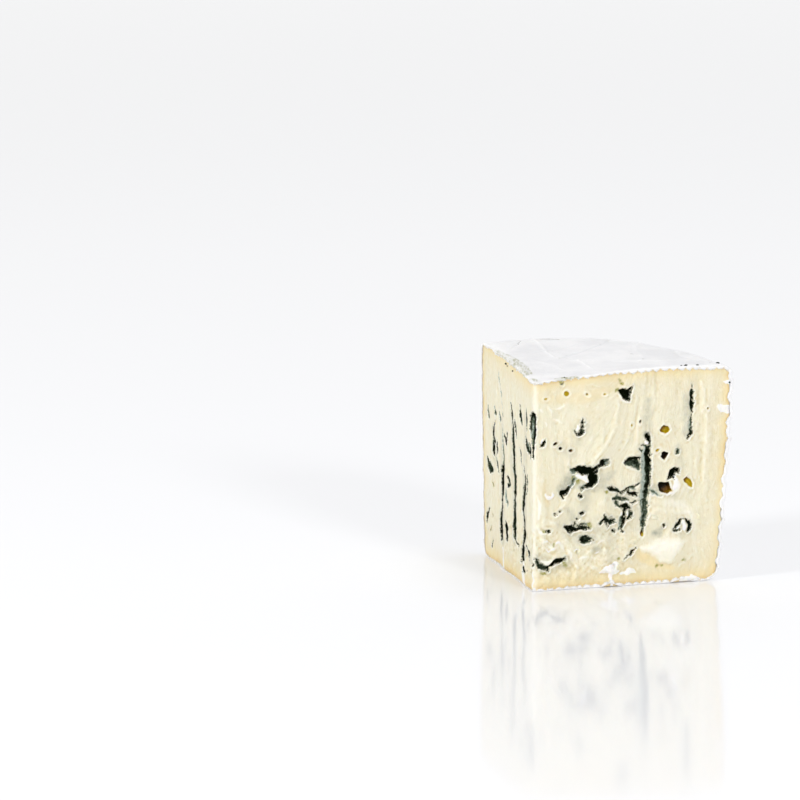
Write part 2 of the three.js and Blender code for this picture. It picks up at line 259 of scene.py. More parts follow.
def makeMesh(name, points, faces, material, values):
    mesh = bpy.data.meshes.new(name)
    mesh.from_pydata(inFrame(points), [], faces)
    for valueName, numbers in values.items():
        addValue(mesh, valueName, numbers)
    mesh.shade_smooth()
    mesh.materials.append(material)
    return addObject(name, mesh)


# A method of a wire that joins it and another value by a Math node
def byMath(operation, swapped=False):
    def joined(self, other):
        values = {0: other, 1: self} if swapped else {0: self, 1: other}
        return self.bench.add("ShaderNodeMath", {"operation": operation}, values)
    return joined


# One socket of a node tree. Sums written with it add the tree's Math nodes.
class Wire:
    def __init__(self, bench, socket):
        self.bench, self.socket = bench, socket

    __add__ = __radd__ = byMath("ADD")
    __mul__ = __rmul__ = byMath("MULTIPLY")
    __sub__ = byMath("SUBTRACT")
    __rsub__ = byMath("SUBTRACT", swapped=True)
    __truediv__ = byMath("DIVIDE")
    __rtruediv__ = byMath("DIVIDE", swapped=True)
    most = byMath("MAXIMUM")

    # 0 below low, 1 above high and a soft slope between
    def rise(self, low, high):
        values = {"Value": self, "From Min": low, "From Max": high}
        return self.bench.add("ShaderNodeMapRange", {"interpolation_type": "SMOOTHSTEP"}, values)

    def into(self, node, name):
        self.bench.tree.links.new(self.socket, node.inputs[name])


def opaque(colour):
    return colour if isinstance(colour, Wire) else (*colour, 1)


# A node tree being built, of a material or of Geometry Nodes
class Bench:
    def __init__(self, tree):
        self.tree = tree

    # Any node: its type, its settings, and the values or wires of its sockets
    def add(self, kind, settings=None, values=None, out=0):
        node = self.tree.nodes.new(kind)
        for name, setting in (settings or {}).items():
            setattr(node, name, setting)
        for name, value in (values or {}).items():
            if isinstance(value, Wire):
                value.into(node, name)
            else:
                node.inputs[name].default_value = value
        return Wire(self, node.outputs[out] if node.outputs else None)

    # Paints layers over a colour. Each layer has how much of it covers and its own colour.
    def paint(self, colour, *layers):
        settings = {"data_type": "RGBA", "clamp_factor": True}
        for cover, layer in layers:
            values = {0: cover, 6: opaque(colour), 7: opaque(layer)}
            colour = self.add("ShaderNodeMix", settings, values, 2)
        return colour

    def value(self, name):
        return self.add("ShaderNodeAttribute", {"attribute_name": name}, out="Fac")

    # Object coordinates in millimetres, turned and then squeezed by the three sizes
    def places(self, sizes=(1, 1, 1), turn=0):
        coordinates = self.add("ShaderNodeTexCoord", out="Object")
        turned = self.add("ShaderNodeMapping", {}, {"Vector": coordinates, "Rotation": (0, 0, turn)})
        scale = [1 / (mm * size) for size in sizes]
        return self.add("ShaderNodeMapping", {}, {"Vector": turned, "Scale": scale})

    # Cloudy noise from 0 to 1 with lumps of about the given size
    def clouds(self, places, size=1, detail=2, rough=0.5):
        values = {"Vector": places, "Scale": 1 / size, "Detail": detail, "Roughness": rough}
        return self.add("ShaderNodeTexNoise", {}, values)

    def bump(self, height, depth):
        return self.add("ShaderNodeBump", {}, {"Height": height, "Distance": depth * mm, "Strength": 1})


# A new material with a Principled shader, whose fixed values come from the settings
def newMaterial(name, fixed):
    material = bpy.data.materials.new(name)
    material.use_nodes = True
    shader = material.node_tree.nodes["Principled BSDF"]
    for socket, value in fixed.items():
        shader.inputs[socket].default_value = value
    return material, Bench(material.node_tree), shader


def dress(shader, colour, rough, normal):
    colour.into(shader, "Base Color")
    rough.into(shader, "Roughness")
    normal.into(shader, "Normal")


mouldLook = {
    "dark": (0.004, 0.006, 0.002),
    "middle": (0.026, 0.038, 0.021),
    "bloom": (0.115, 0.15, 0.10),
    "light": (0.60, 0.67, 0.60),
    "fixed": {"Specular IOR Level": 0.05},
}


# From black over grey-green to the pale bloom where the mould is downy, and greyer at its edge
def mouldColour(bench, places):
    look = mouldLook
    patches = bench.clouds(places, 2.4, 4, 0.6)
    powder = bench.clouds(places, 0.8, 3, 0.6)
    spores = bench.clouds(places, 0.25, 2)
    edge = 1 - bench.value("mould").rise(1.0, 1.2)
    downy = bench.value("fuzz") + 1.6 * (powder - 0.5) + 1.6 * (spores - 0.5) + 2.4 * (patches - 0.5)
    downy = downy + 0.40 * edge
    return bench.paint(
        look["dark"],
        (downy.rise(0.20, 0.65), look["middle"]),
        (downy.rise(0.60, 1.10), look["bloom"]),
        (downy.rise(1.20, 1.90), look["light"]),
    )


def makeMouldMaterial():
    material, bench, shader = newMaterial("blue mould", mouldLook["fixed"])
    places = bench.places()
    powder = bench.clouds(places, 0.3, 3, 0.6)
    dress(shader, mouldColour(bench, places), 0.8 + 0.2 * powder, bench.bump(powder, 0.1))
    return material


pasteLook = {
    "centre": (0.83, 0.78, 0.59),
    "warm": (0.83, 0.745, 0.52),
    "pale": (0.91, 0.87, 0.71),
    "cream": (0.97, 0.945, 0.85),
    # darker olive: painted shade in hollows and dips, and random mottles
    "hollow": (0.72, 0.61, 0.35),
    "ripe": (0.86, 0.73, 0.43),
    "rindLine": (0.80, 0.60, 0.29),
    "haze": (0.44, 0.44, 0.345),
    "olive": (0.34, 0.32, 0.05),
    "holeYellow": (0.57, 0.41, 0.0),
    "holeBrown": (0.20, 0.088, 0.003),
    "holeDark": (0.006, 0.004, 0.001),
    "white": (0.93, 0.91, 0.88),
    "fixed": {
        "Subsurface Weight": 0.25,
        "Subsurface Radius": (1.0, 0.75, 0.45),
        "Subsurface Scale": 0.0009,
        "Specular IOR Level": 0.4,
    },
}


def makePasteMaterial():
    look = pasteLook
    material, bench, shader = newMaterial("cheese paste", look["fixed"])
    places = bench.places()
    upward = bench.add("ShaderNodeSeparateXYZ", {}, {0: places}, "Z")
    broad = bench.clouds(places, 15, 2)
    curd = bench.clouds(places, 2.4, 4, 0.6)
    curds = bench.clouds(places, 1.5, 3, 0.65)
    fine = bench.clouds(places, 0.8, 3, 0.6)
    tiny = bench.clouds(places, 0.34, 2)
    grains = 0.6 * (fine - 0.5) + 0.4 * (tiny - 0.5)
    across = bench.value("comb") + 1.5 * (curd - 0.5)
    combed = bench.add("ShaderNodeCombineXYZ", {}, {0: across, 1: upward / 6})  # along the knife's marks
    streaks = bench.clouds(combed, 2.6, 3, 0.55)
    scratches = bench.clouds(combed, 0.62, 2)
    lofty, lumpy, pale = bench.value("lofty"), bench.value("curdy"), bench.value("pale")
    ripeness = bench.value("ripe")
    colour = bench.paint(
        look["centre"],
        (ripeness.rise(0.01, 0.20) * 0.7 + broad.rise(0.40, 0.75) * 0.45, look["warm"]),
        # streaks, scratches and curds
        (streaks.rise(0.42, 0.80) * 0.50, look["pale"]),
        ((scratches + 0.6 * (curd - 0.5)).rise(0.56, 0.72) * 0.60, look["pale"]),
        ((curd - scratches).rise(0.10, 0.30) * 0.34, look["hollow"]),
        # painted highlight on the paste's ridges and painted shade in its hollows, both from lofty
        ((lofty * 5 + 0.5 * (curd - 0.5)).rise(0.02, 0.75), look["pale"]),
        ((lofty * -5 + 0.7 * (curd - 0.5)).rise(0.04, 0.80) * 0.80, look["hollow"]),
        # paler on the curds, and painted shade in the dips between them
        ((curds + 0.5 * (tiny - 0.5)).rise(0.54, 0.68) * lumpy * 0.70, look["pale"]),
        ((fine - curds).rise(0.06, 0.22) * lumpy * 0.45, look["hollow"]),
        # riper and yellower towards the rind, and painted shadow beside two lumps; cream where the paste
        # is smeared, and painted highlight on the rims of hollows and along the front edge
        (ripeness.rise(0.10, 0.70) * (0.90 + 0.5 * (streaks - 0.5)), look["ripe"]),
        ((ripeness + 0.20 * (fine - 0.5)).rise(0.62, 0.98) * 0.85, look["rindLine"]),
        (pale * (0.75 + 0.3 * fine), look["cream"]),
    )

    mould = bench.value("mould")  # 1 at the edge of the mould, 2 well inside it
    hole = bench.value("hole") + 0.10 * (fine - 0.5)
    brink = mould.most(hole) + 0.10 * (fine - 0.5)
    glint = brink.rise(0.78, 0.86) * (1 - brink.rise(0.93, 0.98)) * bench.value("lit")
    near = (mould + 1.3 * (curd - 0.5) + 0.5 * (fine - 0.5)).rise(0.45, 1.05)
    haze = bench.value("haze") * (2.4 * curd - 0.2) + near * near * 0.32
    toneAndShade = bench.value("toneAndShade") + grains
    within = hole.rise(0.97, 1.04)
    # inside a hole: from yellow over brown to dark, by the hole's own tone and the shade painted on its
    # left and upper walls
    inside = bench.paint(
        look["holeYellow"],
        (toneAndShade.rise(0.05, 0.55), look["holeBrown"]),
        (toneAndShade.rise(0.50, 1.00), look["holeDark"]),
    )
    colour = bench.paint(
        colour,
        (glint * (curd + 0.3 * fine).rise(0.50, 0.66), look["cream"]),
        (haze * (1 - glint) * (1 - pale.rise(0.25, 0.7)), look["haze"]),
        (bench.value("olive") * (0.55 + 0.45 * fine.rise(0.40, 0.60)), look["olive"]),
        (within, inside),
        ((bench.value("white") + grains).rise(0.42, 0.58), look["white"]),
    )
    grain = 0.50 * streaks + 0.22 * scratches + 0.45 * curd + 0.40 * curds * lumpy + 0.22 * fine
    dress(shader, colour, 0.34 + 0.25 * fine, bench.bump(grain, 0.7))

    # the mould lies over the moist paste as a matt coat, which also covers the darkest hole walls, dark by
    # their own tone and by painted shade
    dark = bench.paint(mouldColour(bench, places), (within, look["holeDark"]))
    coat = bench.add("ShaderNodeBsdfDiffuse", {}, {"Color": dark, "Roughness": 0.5})
    ragged = mould + 0.75 * (fine - 0.5) + 0.50 * (tiny - 0.5)
    coated = ragged.rise(0.98, 1.08).most(within * toneAndShade.rise(0.55, 1.00) * 0.85)
    moist = Wire(bench, shader.outputs[0])
    covered = bench.add("ShaderNodeMixShader", {}, {0: coated, 1: moist, 2: coat})
    covered.into(material.node_tree.nodes["Material Output"], "Surface")
    return material


rindLook = {
    "white": (0.875, 0.87, 0.875),
    "grey": (0.765, 0.765, 0.78),
    # the colour of the painted highlight
    "paintedLight": (0.97, 0.965, 0.96),
    # the colour of the painted shade between the lip's lobes
    "lobeShade": (0.80, 0.70, 0.48),
    "green": (0.38, 0.38, 0.22),
    "shade": (0.34, 0.33, 0.30),
    "stain": (0.62, 0.46, 0.28),
    "speck": (0.10, 0.075, 0.06),
    "furTurn": math.radians(-30),  # way the green fur lies on the top
    "fixed": {
        "Subsurface Weight": 0.12,
        "Subsurface Radius": (1.0, 0.9, 0.8),
        "Subsurface Scale": 0.0010,
        "Specular IOR Level": 0.25,
    },
}


def makeRindMaterial():
    look = rindLook
    material, bench, shader = newMaterial("white mould rind", look["fixed"])
    places = bench.places()
    broad = bench.clouds(places, 14, 2)
    felt = bench.clouds(places, 0.45, 3, 0.6)
    patches = bench.clouds(places, 2.2, 3, 0.6)
    fur = bench.clouds(bench.places((1, 4, 1), look["furTurn"]), 1.3, 3, 0.6)
    cells = bench.add("ShaderNodeTexVoronoi", {"feature": "DISTANCE_TO_EDGE"},
                      {"Vector": bench.places((5, 5, 9)), "Scale": 1.0})
    dots = bench.add("ShaderNodeTexVoronoi", {}, {"Vector": places, "Scale": 0.11})
    nap = felt - 0.5
    creased = (1 - cells.rise(0.0, 0.05)) * patches.rise(0.45, 0.65)
    paintedLight = bench.value("paintedLight")
    green = bench.value("green").rise(0.0, 0.35) * (0.45 + 0.55 * broad.rise(0.35, 0.60))
    stain = (bench.value("stain") + 0.5 * nap).rise(0.45, 0.95)
    colour = bench.paint(
        look["white"],
        (broad.rise(0.35, 0.7) * 0.7, look["grey"]),
        (felt.rise(0.5, 0.7) * 0.45, look["grey"]),
        # painted shade in the small creases and in the valleys of the folds
        (creased * 0.10 + (paintedLight * -2).rise(0.1, 0.9) * 0.6, look["grey"]),
        # painted highlight on the folds' ridges, the lips and the cut border
        ((paintedLight + 0.3 * nap).rise(0.08, 0.42), look["paintedLight"]),
        # painted shade in the gaps between the lip's lobes
        (bench.value("lobeShade") * 0.75, look["lobeShade"]),
        (green * (0.25 + 0.60 * fur.rise(0.42, 0.62)), look["green"]),
        (green * (fur + 0.3 * nap).rise(0.60, 0.72) * 0.35, look["shade"]),
        ((bench.value("shade") + 0.5 * nap).rise(0.30, 0.80), look["shade"]),
        (stain * 0.55 * patches.rise(0.35, 0.55), look["stain"]),
        ((1 - (dots + 0.03 * nap).rise(0.030, 0.045)) * 0.75, look["speck"]),
    )
    normal = bench.bump(0.8 * felt + 0.5 * patches - 0.25 * creased, 0.24)
    dress(shader, colour, 0.75 + 0.25 * felt, normal)
    return material


pasteMaterial = makePasteMaterial()
rindMaterial = makeRindMaterial()
mouldMaterial = makeMouldMaterial()
print("materials made")

# Everything on the cut surface is given as (place, height, width) in millimetres, with the
# place below 0 on the left face.
growths = [  # blue mould: depth of the hollow, how downy it is, and its path
    # the main channel of the right face
    (1.7, 0, [(49.4, 63.3, 1.2), (49.2, 62, 2.3), (49.2, 60.9, 2), (49.8, 59.4, 1.1)]),
    (1.2, 0.2, [(49.8, 59.6, 1.1), (49.9, 58.4, 1.4), (49.4, 57.2, 2.6), (49.2, 55.4, 3.2)]),
    (2.1, 0, [(49.4, 56.2, 2.6), (49.1, 53.6, 3.6), (49, 50, 3.8)]),
    (2.1, 0.35, [(49, 50.4, 3.8), (48.9, 45.6, 3.8), (48.8, 42, 3.7), (48.6, 38.4, 3.6)]),
    (2, 0.75, [(48.6, 40, 3.6), (48.4, 33.5, 3.4), (48, 28.2, 2.9), (47.7, 25, 2.1), (47.5, 22.9, 0.9)]),
    (0.9, 0.2, [(48.9, 57.7, 1.2), (47.8, 58.3, 0.9), (46.8, 58.2, 0.6)]),
    (0.9, 0.3, [(48.4, 56.4, 1.3), (47.3, 56.2, 1.1), (46.3, 57, 0.5)]),
    (1.2, 0, [(50.5, 56.4, 0.8), (50.7, 54.6, 1.2)]),
    # the thin channel beside it
    (1.1, 0.25, [(68.5, 83, 0.6), (68.6, 80.4, 1.5), (68.9, 75.6, 2.1), (69, 72, 1.5)]),
    (1, 0.35, [(68.6, 70.4, 0.7), (68, 67.4, 1.5), (68, 64.8, 0.9), (68, 62.4, 1.6), (66.8, 60.4, 0.8)]),
    # the channel in the front edge
    (0.8, 0.1, [(-2.2, 70.9, 6.2), (-2, 68, 5.6), (-1.6, 65.2, 4.4), (-1.3, 62.2, 3.3), (-1, 59, 2.6),
                (-0.8, 56.8, 2.1), (-0.3, 54.8, 0.8)]),
    # the cluster
    (1.8, 0, [(15.8, 50.2, 0.9), (18, 49.4, 2.2), (20.8, 49.6, 3.4), (23.6, 49.2, 4.2), (26.4, 49.8, 2.3),
              (28.4, 51, 1.2)]),
    (0.9, 0.1, [(28.2, 50.4, 1), (27, 48.4, 0.9)]),
    (1.9, 0, [(29, 51.2, 1.2), (30.2, 51.9, 3.6), (31.1, 52.2, 3.2)]),
    (1.8, 0, [(24.6, 48.4, 3.8), (25.8, 46.2, 3.6), (25.2, 44.2, 3.4), (23.4, 43.4, 1.8)]),
    (1.2, 1.1, [(24, 43.6, 1.6), (22.2, 43.4, 1.2), (21, 42.4, 1.5), (21, 41.2, 1)]),
    (0.9, 1.1, [(18.4, 46.4, 1.3), (16.8, 44.4, 1.4), (15.2, 42.6, 1.5)]),
    (1.5, 0, [(15.6, 42.6, 1.1), (14.2, 41, 2.3), (12.8, 40.2, 2.2), (13.2, 38.4, 0.9)]),
    # the pocket left of the main channel
    (1.6, 0, [(39.7, 51.3, 0.9), (41.1, 52.6, 2), (42.9, 53.5, 2), (45.6, 53.1, 1.5)]),
    (1.9, 0.75, [(40.4, 50.8, 0.8), (42.2, 51.5, 2.6), (44, 51.2, 4), (45.2, 50, 3.2), (45.9, 47.8, 0.8)]),
    # the chain
    (0.9, 0.25, [(32.3, 41.6, 0.7), (34.2, 41, 1.9), (36.4, 39.9, 1.7), (37.9, 39.2, 0.9)]),
    (0.8, 0.3, [(37.9, 39.2, 0.9), (39.6, 39.8, 1.2), (41.4, 40.8, 1.3), (43.6, 41.5, 1),
                (46.2, 42.7, 0.8)]),
    (1, 0, [(41.4, 39.9, 1), (42.2, 38.7, 1.5), (43.8, 38.1, 2.3), (45.5, 38.3, 1.2)]),
    (0.7, 0.9, [(41.8, 40.3, 0.9), (43.2, 40.9, 1.3), (44.2, 40.2, 0.9)]),
    # the nest below it
    (0.9, 0.7, [(34.9, 36.6, 0.9), (36.6, 37, 1.7), (39.2, 36.7, 1.2), (41.2, 36.2, 0.9)]),
    (0.9, 0.45, [(35.5, 36.2, 0.9), (36.2, 34.2, 1.4), (37.8, 33.4, 0.9)]),
    (1.4, 0, [(38.2, 34.2, 1.3), (39.8, 33.8, 2.5), (41.2, 32.6, 2.5)]),
    (1.2, 0, [(39.6, 33, 1.8), (39.3, 30.4, 1.2), (39.1, 28, 1.3), (38.8, 26, 1.2), (38.4, 24.6, 0.8)]),
    (0.8, 1.1, [(38.6, 29.6, 0.8), (38, 27, 1.6), (37.3, 24.4, 1.2)]),
    (0.9, 0.6, [(41.7, 31.8, 1.1), (42, 29.6, 2.4), (40.4, 28, 1.4)]),
    (0.8, 0, [(42.6, 31.4, 0.7), (42.7, 29.2, 0.9), (41, 27.4, 0.7)]),
    (0.6, 0.1, [(42.3, 34.8, 0.9), (45.5, 35.5, 0.7)]),
    # the star
    (0.9, 0.45, [(28.7, 27, 1), (30.4, 28, 1.7), (32.2, 27.5, 1.8), (34.4, 27.8, 1.6), (35.4, 26.9, 0.8)]),
    (0.8, 0.2, [(30.7, 30, 0.8), (31.2, 28.2, 1.1), (32.2, 25.6, 0.9)]),
    (0.8, 0.1, [(33.5, 29.2, 0.7), (34.1, 27.8, 1.1)]),
    # the bar
    (1.1, 0, [(13.7, 26, 1.3), (15.1, 25.2, 2.2), (16.6, 23.7, 1.2)]),
    (1, 0, [(15.6, 25.7, 1.7), (18.6, 25.1, 1.6), (21.6, 25.2, 1.7), (24.5, 25, 0.9)]),
    (0.7, 0.8, [(18.9, 26.4, 1), (21.2, 26.7, 1.5), (23.6, 26.2, 1)]),
    (0.8, 0.1, [(17.6, 26, 1), (18.3, 27.6, 0.9)]),
    # the hook and the slash
    (1, 0.1, [(21.9, 70, 0.9), (21.2, 68.6, 1.5), (20.4, 67.3, 1.1)]),
    (1, 0.05, [(20.3, 67.6, 1), (20.9, 66, 1.2), (20, 64.4, 1.5), (18.4, 65, 1.1), (17.5, 66, 0.6)]),
    (0.8, 0, [(44.1, 15.5, 0.8), (43.1, 14.3, 1.4), (41.7, 12.6, 0.7), (39.8, 10.9, 0.5)]),
    # the chain at the foot of the front edge
    (0.5, 0.2, [(-9, 17.6, 1), (-6.8, 15.8, 2.8), (-4.6, 13.8, 1.4)]),
    (0.8, 0.6, [(0.8, 13.8, 1), (1.9, 12.2, 2.4), (3.6, 10.8, 2.8), (6, 9.6, 1.5)]),
    (1.2, 0, [(5.4, 9.7, 1), (8.6, 11.2, 2.3), (10.8, 12.3, 2.2), (13, 13, 1.5)]),
    # the ring, and a leaf of mould
    (0.8, 0, [(61.3, 22, 1.1), (62, 23.9, 1.1), (63.1, 25.6, 1.8), (64.1, 26.4, 1)]),
    (0.8, 0, [(65.8, 26.6, 1), (67.3, 25.4, 1.3), (68.2, 23.1, 1.8), (67.6, 21.8, 1.1)]),
    (0.7, 0, [(61.4, 21.9, 1.1), (62.6, 21.8, 1.2), (64.2, 22.3, 0.9)]),
    (0.5, 0.1, [(64.2, 22.4, 0.7), (63.7, 23.2, 0.5)]),
    (0.7, 1.3, [(50.8, 40.4, 0.6), (52, 39, 1.7), (54, 37.6, 1), (55.2, 37.2, 0.5)]),
    # the left face: three long lines
    (0.24, 1.1, [(-56.2, 82.6, 0.4), (-53.9, 74, 0.8), (-51, 64, 1), (-50.4, 53, 1.4), (-49.9, 42, 1.9)]),
    (0.63, 0, [(-50.2, 43, 2.6), (-51, 38, 5), (-50.8, 30, 5.2), (-53, 21.6, 5.2), (-52, 16, 4.6),
               (-51, 12.2, 2.4)]),
    (0.52, 0.35, [(-35.8, 72.6, 1.4), (-34, 66, 3.2), (-32.6, 60, 4), (-31, 52, 3), (-30, 44, 3),
                  (-29.4, 34, 3.4), (-30.6, 24, 4.2), (-30, 17, 2.2)]),
    (0.32, 0.2, [(-29.4, 18, 1.3), (-26.6, 16, 1.8), (-22.6, 14.6, 0.8)]),
    (0.63, 0, [(-13.8, 48.8, 1.6), (-12.4, 44.6, 2.8), (-13.4, 38.6, 4.6), (-15.9, 32.4, 4.4),
               (-13.9, 27, 4.2), (-13.9, 19, 4.4), (-14.4, 10.6, 2.4)]),
    (0.35, 0.35, [(-8.6, 47, 0.8), (-8, 43, 2.4), (-9.2, 39.4, 1)]),
    # its strokes, blobs and pockets
    (0.35, 0.05, [(-62.6, 59.6, 1.2), (-64, 57, 2.8), (-65.3, 53.4, 2.6), (-61, 50.6, 1.2)]),
    (0.39, 0.1, [(-58.8, 52.6, 1.2), (-58, 49.6, 3.2), (-57.6, 47.6, 1.2)]),
    (0.35, 0.05, [(-65.2, 51.8, 1.2), (-65, 49, 3.8), (-63.6, 45.6, 1.4)]),
    (0.28, 0.5, [(-59.4, 46.4, 0.8), (-57.6, 42.8, 1.7), (-56.2, 39.8, 0.7)]),
    (0.5, 0.55, [(-75.8, 43, 1.2), (-74.4, 41.4, 3.4), (-73.4, 39.8, 5)]),
    (0.39, 0, [(-47, 56.6, 1.8), (-45, 55.2, 2.8), (-43.4, 53.6, 1.4)]),
    (0.32, 0, [(-43, 58.2, 1.6), (-41.6, 56.8, 2.4)]),
    (0.35, 0.35, [(-29.8, 66.4, 0.9), (-28.4, 62.6, 2.8), (-27.4, 59, 1)]),
    (0.32, 0.5, [(-22.8, 73.6, 1.2), (-20.8, 69.6, 3.4), (-19.2, 65.6, 1.2)]),
    (0.28, 0.45, [(-10.9, 74.4, 1), (-9.8, 70.6, 2.8), (-8.4, 65.6, 1.4)]),
    (0.45, 0.3, [(-11.2, 62.2, 1.8), (-9, 59.8, 4.2), (-6, 56.6, 1.8)]),
    (0.42, 0.4, [(-5.6, 60.4, 0.9), (-4.4, 57.4, 2.4), (-4, 54.6, 1)]),
    (0.32, 0.4, [(-22.8, 55.6, 0.8), (-20.8, 52.8, 1.8), (-18.8, 49.4, 0.7)]),
    (0.39, 0.05, [(-41, 40.2, 1.6), (-38.2, 39.6, 2.6), (-36.8, 38.2, 2), (-39.6, 37, 2.2)]),
    (0.2, 1.5, [(-42.4, 35.2, 1.2), (-42.8, 31.8, 3.4), (-40.6, 28.6, 1.4)]),
    (0.32, 0, [(-69.4, 21.8, 0.9), (-73.4, 19.2, 2.4), (-76, 16.8, 2.6), (-76.6, 14.6, 0.9)]),
    (0.42, 0, [(-42.4, 20.8, 2), (-42.5, 18, 6), (-42.4, 15.6, 4.6), (-42.2, 13.8, 1.6)]),
    (0.32, 0.3, [(-65.7, 8.8, 1.2), (-66.4, 6.6, 2)]),
    (0.17, 0.9, [(-75.8, 64.4, 0.9), (-74.8, 60.6, 1.8)]),
    (0.17, 0.8, [(-63, 66.4, 0.8), (-61.6, 63.4, 1.4)]),
    (0.17, 0.8, [(-57, 66, 0.8), (-55.4, 62.4, 1.5)]),
    (0.24, 0, [(-13.2, 7.4, 1.8), (-12, 6.2, 2.6)]),
]
paleFlanks = [  # downiness and path of lighter grey-green down
    (1.9, [(48.2, 57.4, 1.1), (48.2, 52, 2), (48, 44, 2.1), (47.8, 36, 1.8)]),
    (1.35, [(47.6, 37, 1.6), (47.4, 30, 1.8), (47.3, 25, 1.2)]),
    (1.2, [(49.6, 35, 0.8), (48.9, 27, 0.7)]),
    (1.3, [(67.8, 79.4, 0.9), (67.9, 74, 1.1), (67.6, 68.6, 1.2), (67.4, 65, 1)]),
    (1.25, [(-3.2, 70.6, 2.4), (-2.8, 66, 2.2), (-2, 61, 1.2)]),
    (1.15, [(43.6, 50.2, 1.6), (45.2, 48.8, 1.6)]),
    (1.3, [(31.2, 53.2, 0.9), (32.2, 52, 1), (31.4, 51, 0.8)]),
    (1.4, [(20.2, 20.4, 1.9), (21.6, 21.4, 1.4)]),
    (1.3, [(16.4, 49.6, 1), (18.2, 48.6, 0.9)]),
    (1.2, [(39.2, 81.2, 0.6), (41, 82.2, 0.6)]),
    (1.4, [(38, 27.6, 0.7), (37.4, 25.4, 0.7)]),
    (1.1, [(-69.8, 40.4, 2.4), (-68.2, 38.2, 2.4)]),
    (1.3, [(-8.6, 60.6, 2), (-6.8, 58.6, 1.6)]),
    (1.4, [(-12.4, 43, 1.4), (-13, 38.4, 1.6)]),
    (1.2, [(-38, 39.2, 1.6), (-38.4, 37.8, 1.2)]),
]
crumbs = [  # path of bits of paste left standing in the mould
    [(18.3, 46.8, 1), (20.6, 46.3, 2), (22.8, 45.8, 2.6), (23.7, 44.9, 1.5)],
    [(40.6, 35.3, 0.6), (42.2, 33.9, 0.6)],
    [(41.2, 31.4, 0.8), (40.5, 29.4, 0.9)],
    [(42.5, 40.2, 0.7), (43.7, 39.4, 0.7)],
    [(47.9, 59.9, 0.5), (48.7, 59, 0.6)],
    [(3.6, 12.4, 0.8), (6.4, 11.6, 1.6), (8, 12.6, 0.8)],
    [(20, 68.6, 0.8), (19.2, 66.6, 1.3), (18.9, 65.9, 0.7)],
]
honeyAndShadows = [  # how much yellower the paste is along a path
    # the first, left of the white curl, and the second, under the soft lump, are painted shadows
    (0.32, [(4.4, 44, 1.6), (4.8, 38.6, 2.6), (6.4, 36, 1.4)]),
    (0.62, [(44.6, 14.8, 1), (47.6, 11.8, 3.2), (52.4, 9.4, 3.2), (56.4, 7.2, 2.6), (61.4, 6.2, 1.2)]),
    (0.34, [(16, 10, 1.4), (19.6, 6.6, 3.4), (24, 8, 1.6)]),
    (0.3, [(5, 8, 1.2), (10, 7.4, 2.4), (15, 8.6, 1.2)]),
    (0.26, [(36.6, 84, 2.4), (36, 80, 1.4)]),
    (0.36, [(4, 80, 3), (14, 79.4, 4), (26, 80.6, 4), (32, 82.6, 4)]),
    (0.3, [(59, 5.6, 1.2), (66, 6.6, 1.6)]),
]
mouldDots = [  # place, height, size
    (21.7, 42.2, 1.3), (21.2, 31.7, 1.8), (20.1, 39.2, 1.5), (20.7, 38.4, 1.5), (9.6, 31.5, 1.3),
    (11.6, 32.6, 1), (6.9, 24.6, 1.7), (34.9, 23.3, 1.6), (19.2, 29.2, 1.2), (38.6, 22.9, 1.3),
    (56.9, 24.2, 1.5), (12.5, 85.4, 1), (-5.6, 12.4, 1.7), (-0.7, 10.8, 1.5), (6.6, 8.6, 1.1),
    (47.5, 22.6, 1.2), (-16, 9.6, 1.3), (5.6, 24.9, 1),
]
ovalMoulds = [  # place, height, width, tall, depth, downiness
    (22.7, 20.5, 5.6, 3.3, 1.6, 0.5), (62.6, 55, 2, 2.2, 0.9, 0.8), (-70.4, 39.4, 10.6, 5.2, 0.35, 0.6),
]
tornPockets = [  # blue mould in hollows with straight sides: depth, how downy it is, and corners
    (2.2, 0, [(36.3, 81.5), (38.2, 82.7), (40.6, 82.3), (43.1, 83.5), (41.9, 79.7), (41.5, 76.9),
              (39.9, 77.2)]),
    (1.8, -0.3, [(57.9, 44), (59, 47), (61.2, 48.7), (63.6, 47.9), (63.3, 45.8), (62, 46.4), (61, 45),
                 (61.9, 43.4), (60.2, 44.3)]),
    (0.9, -0.2, [(3, 60), (3.8, 62.3), (5.3, 62.9), (4.8, 60.6), (3.9, 59.6)]),
]
tornHoles = [  # depth, tone and corners of the holes that aren't round
    (2.4, 0.84, [(54.1, 42.8), (56.7, 42.6), (58.6, 43), (59.3, 40.9), (60.5, 38.7), (57.6, 37.4),
                 (54.8, 39)]),
    (1.6, 1.05, [(54.9, 53.4), (56.5, 55.2), (58.6, 54.9), (58.2, 52.9), (57.3, 51.6)]),
    (1.6, 0.08, [(65.7, 43.1), (67, 44.6), (69, 42.3), (69.5, 39.5), (67.8, 40.1), (66.4, 41.7)]),
    (1.8, 0.36, [(54.5, 65), (56.3, 66.5), (58.5, 65.8), (59, 64.1), (57.1, 62.7), (55.3, 63.4)]),
]
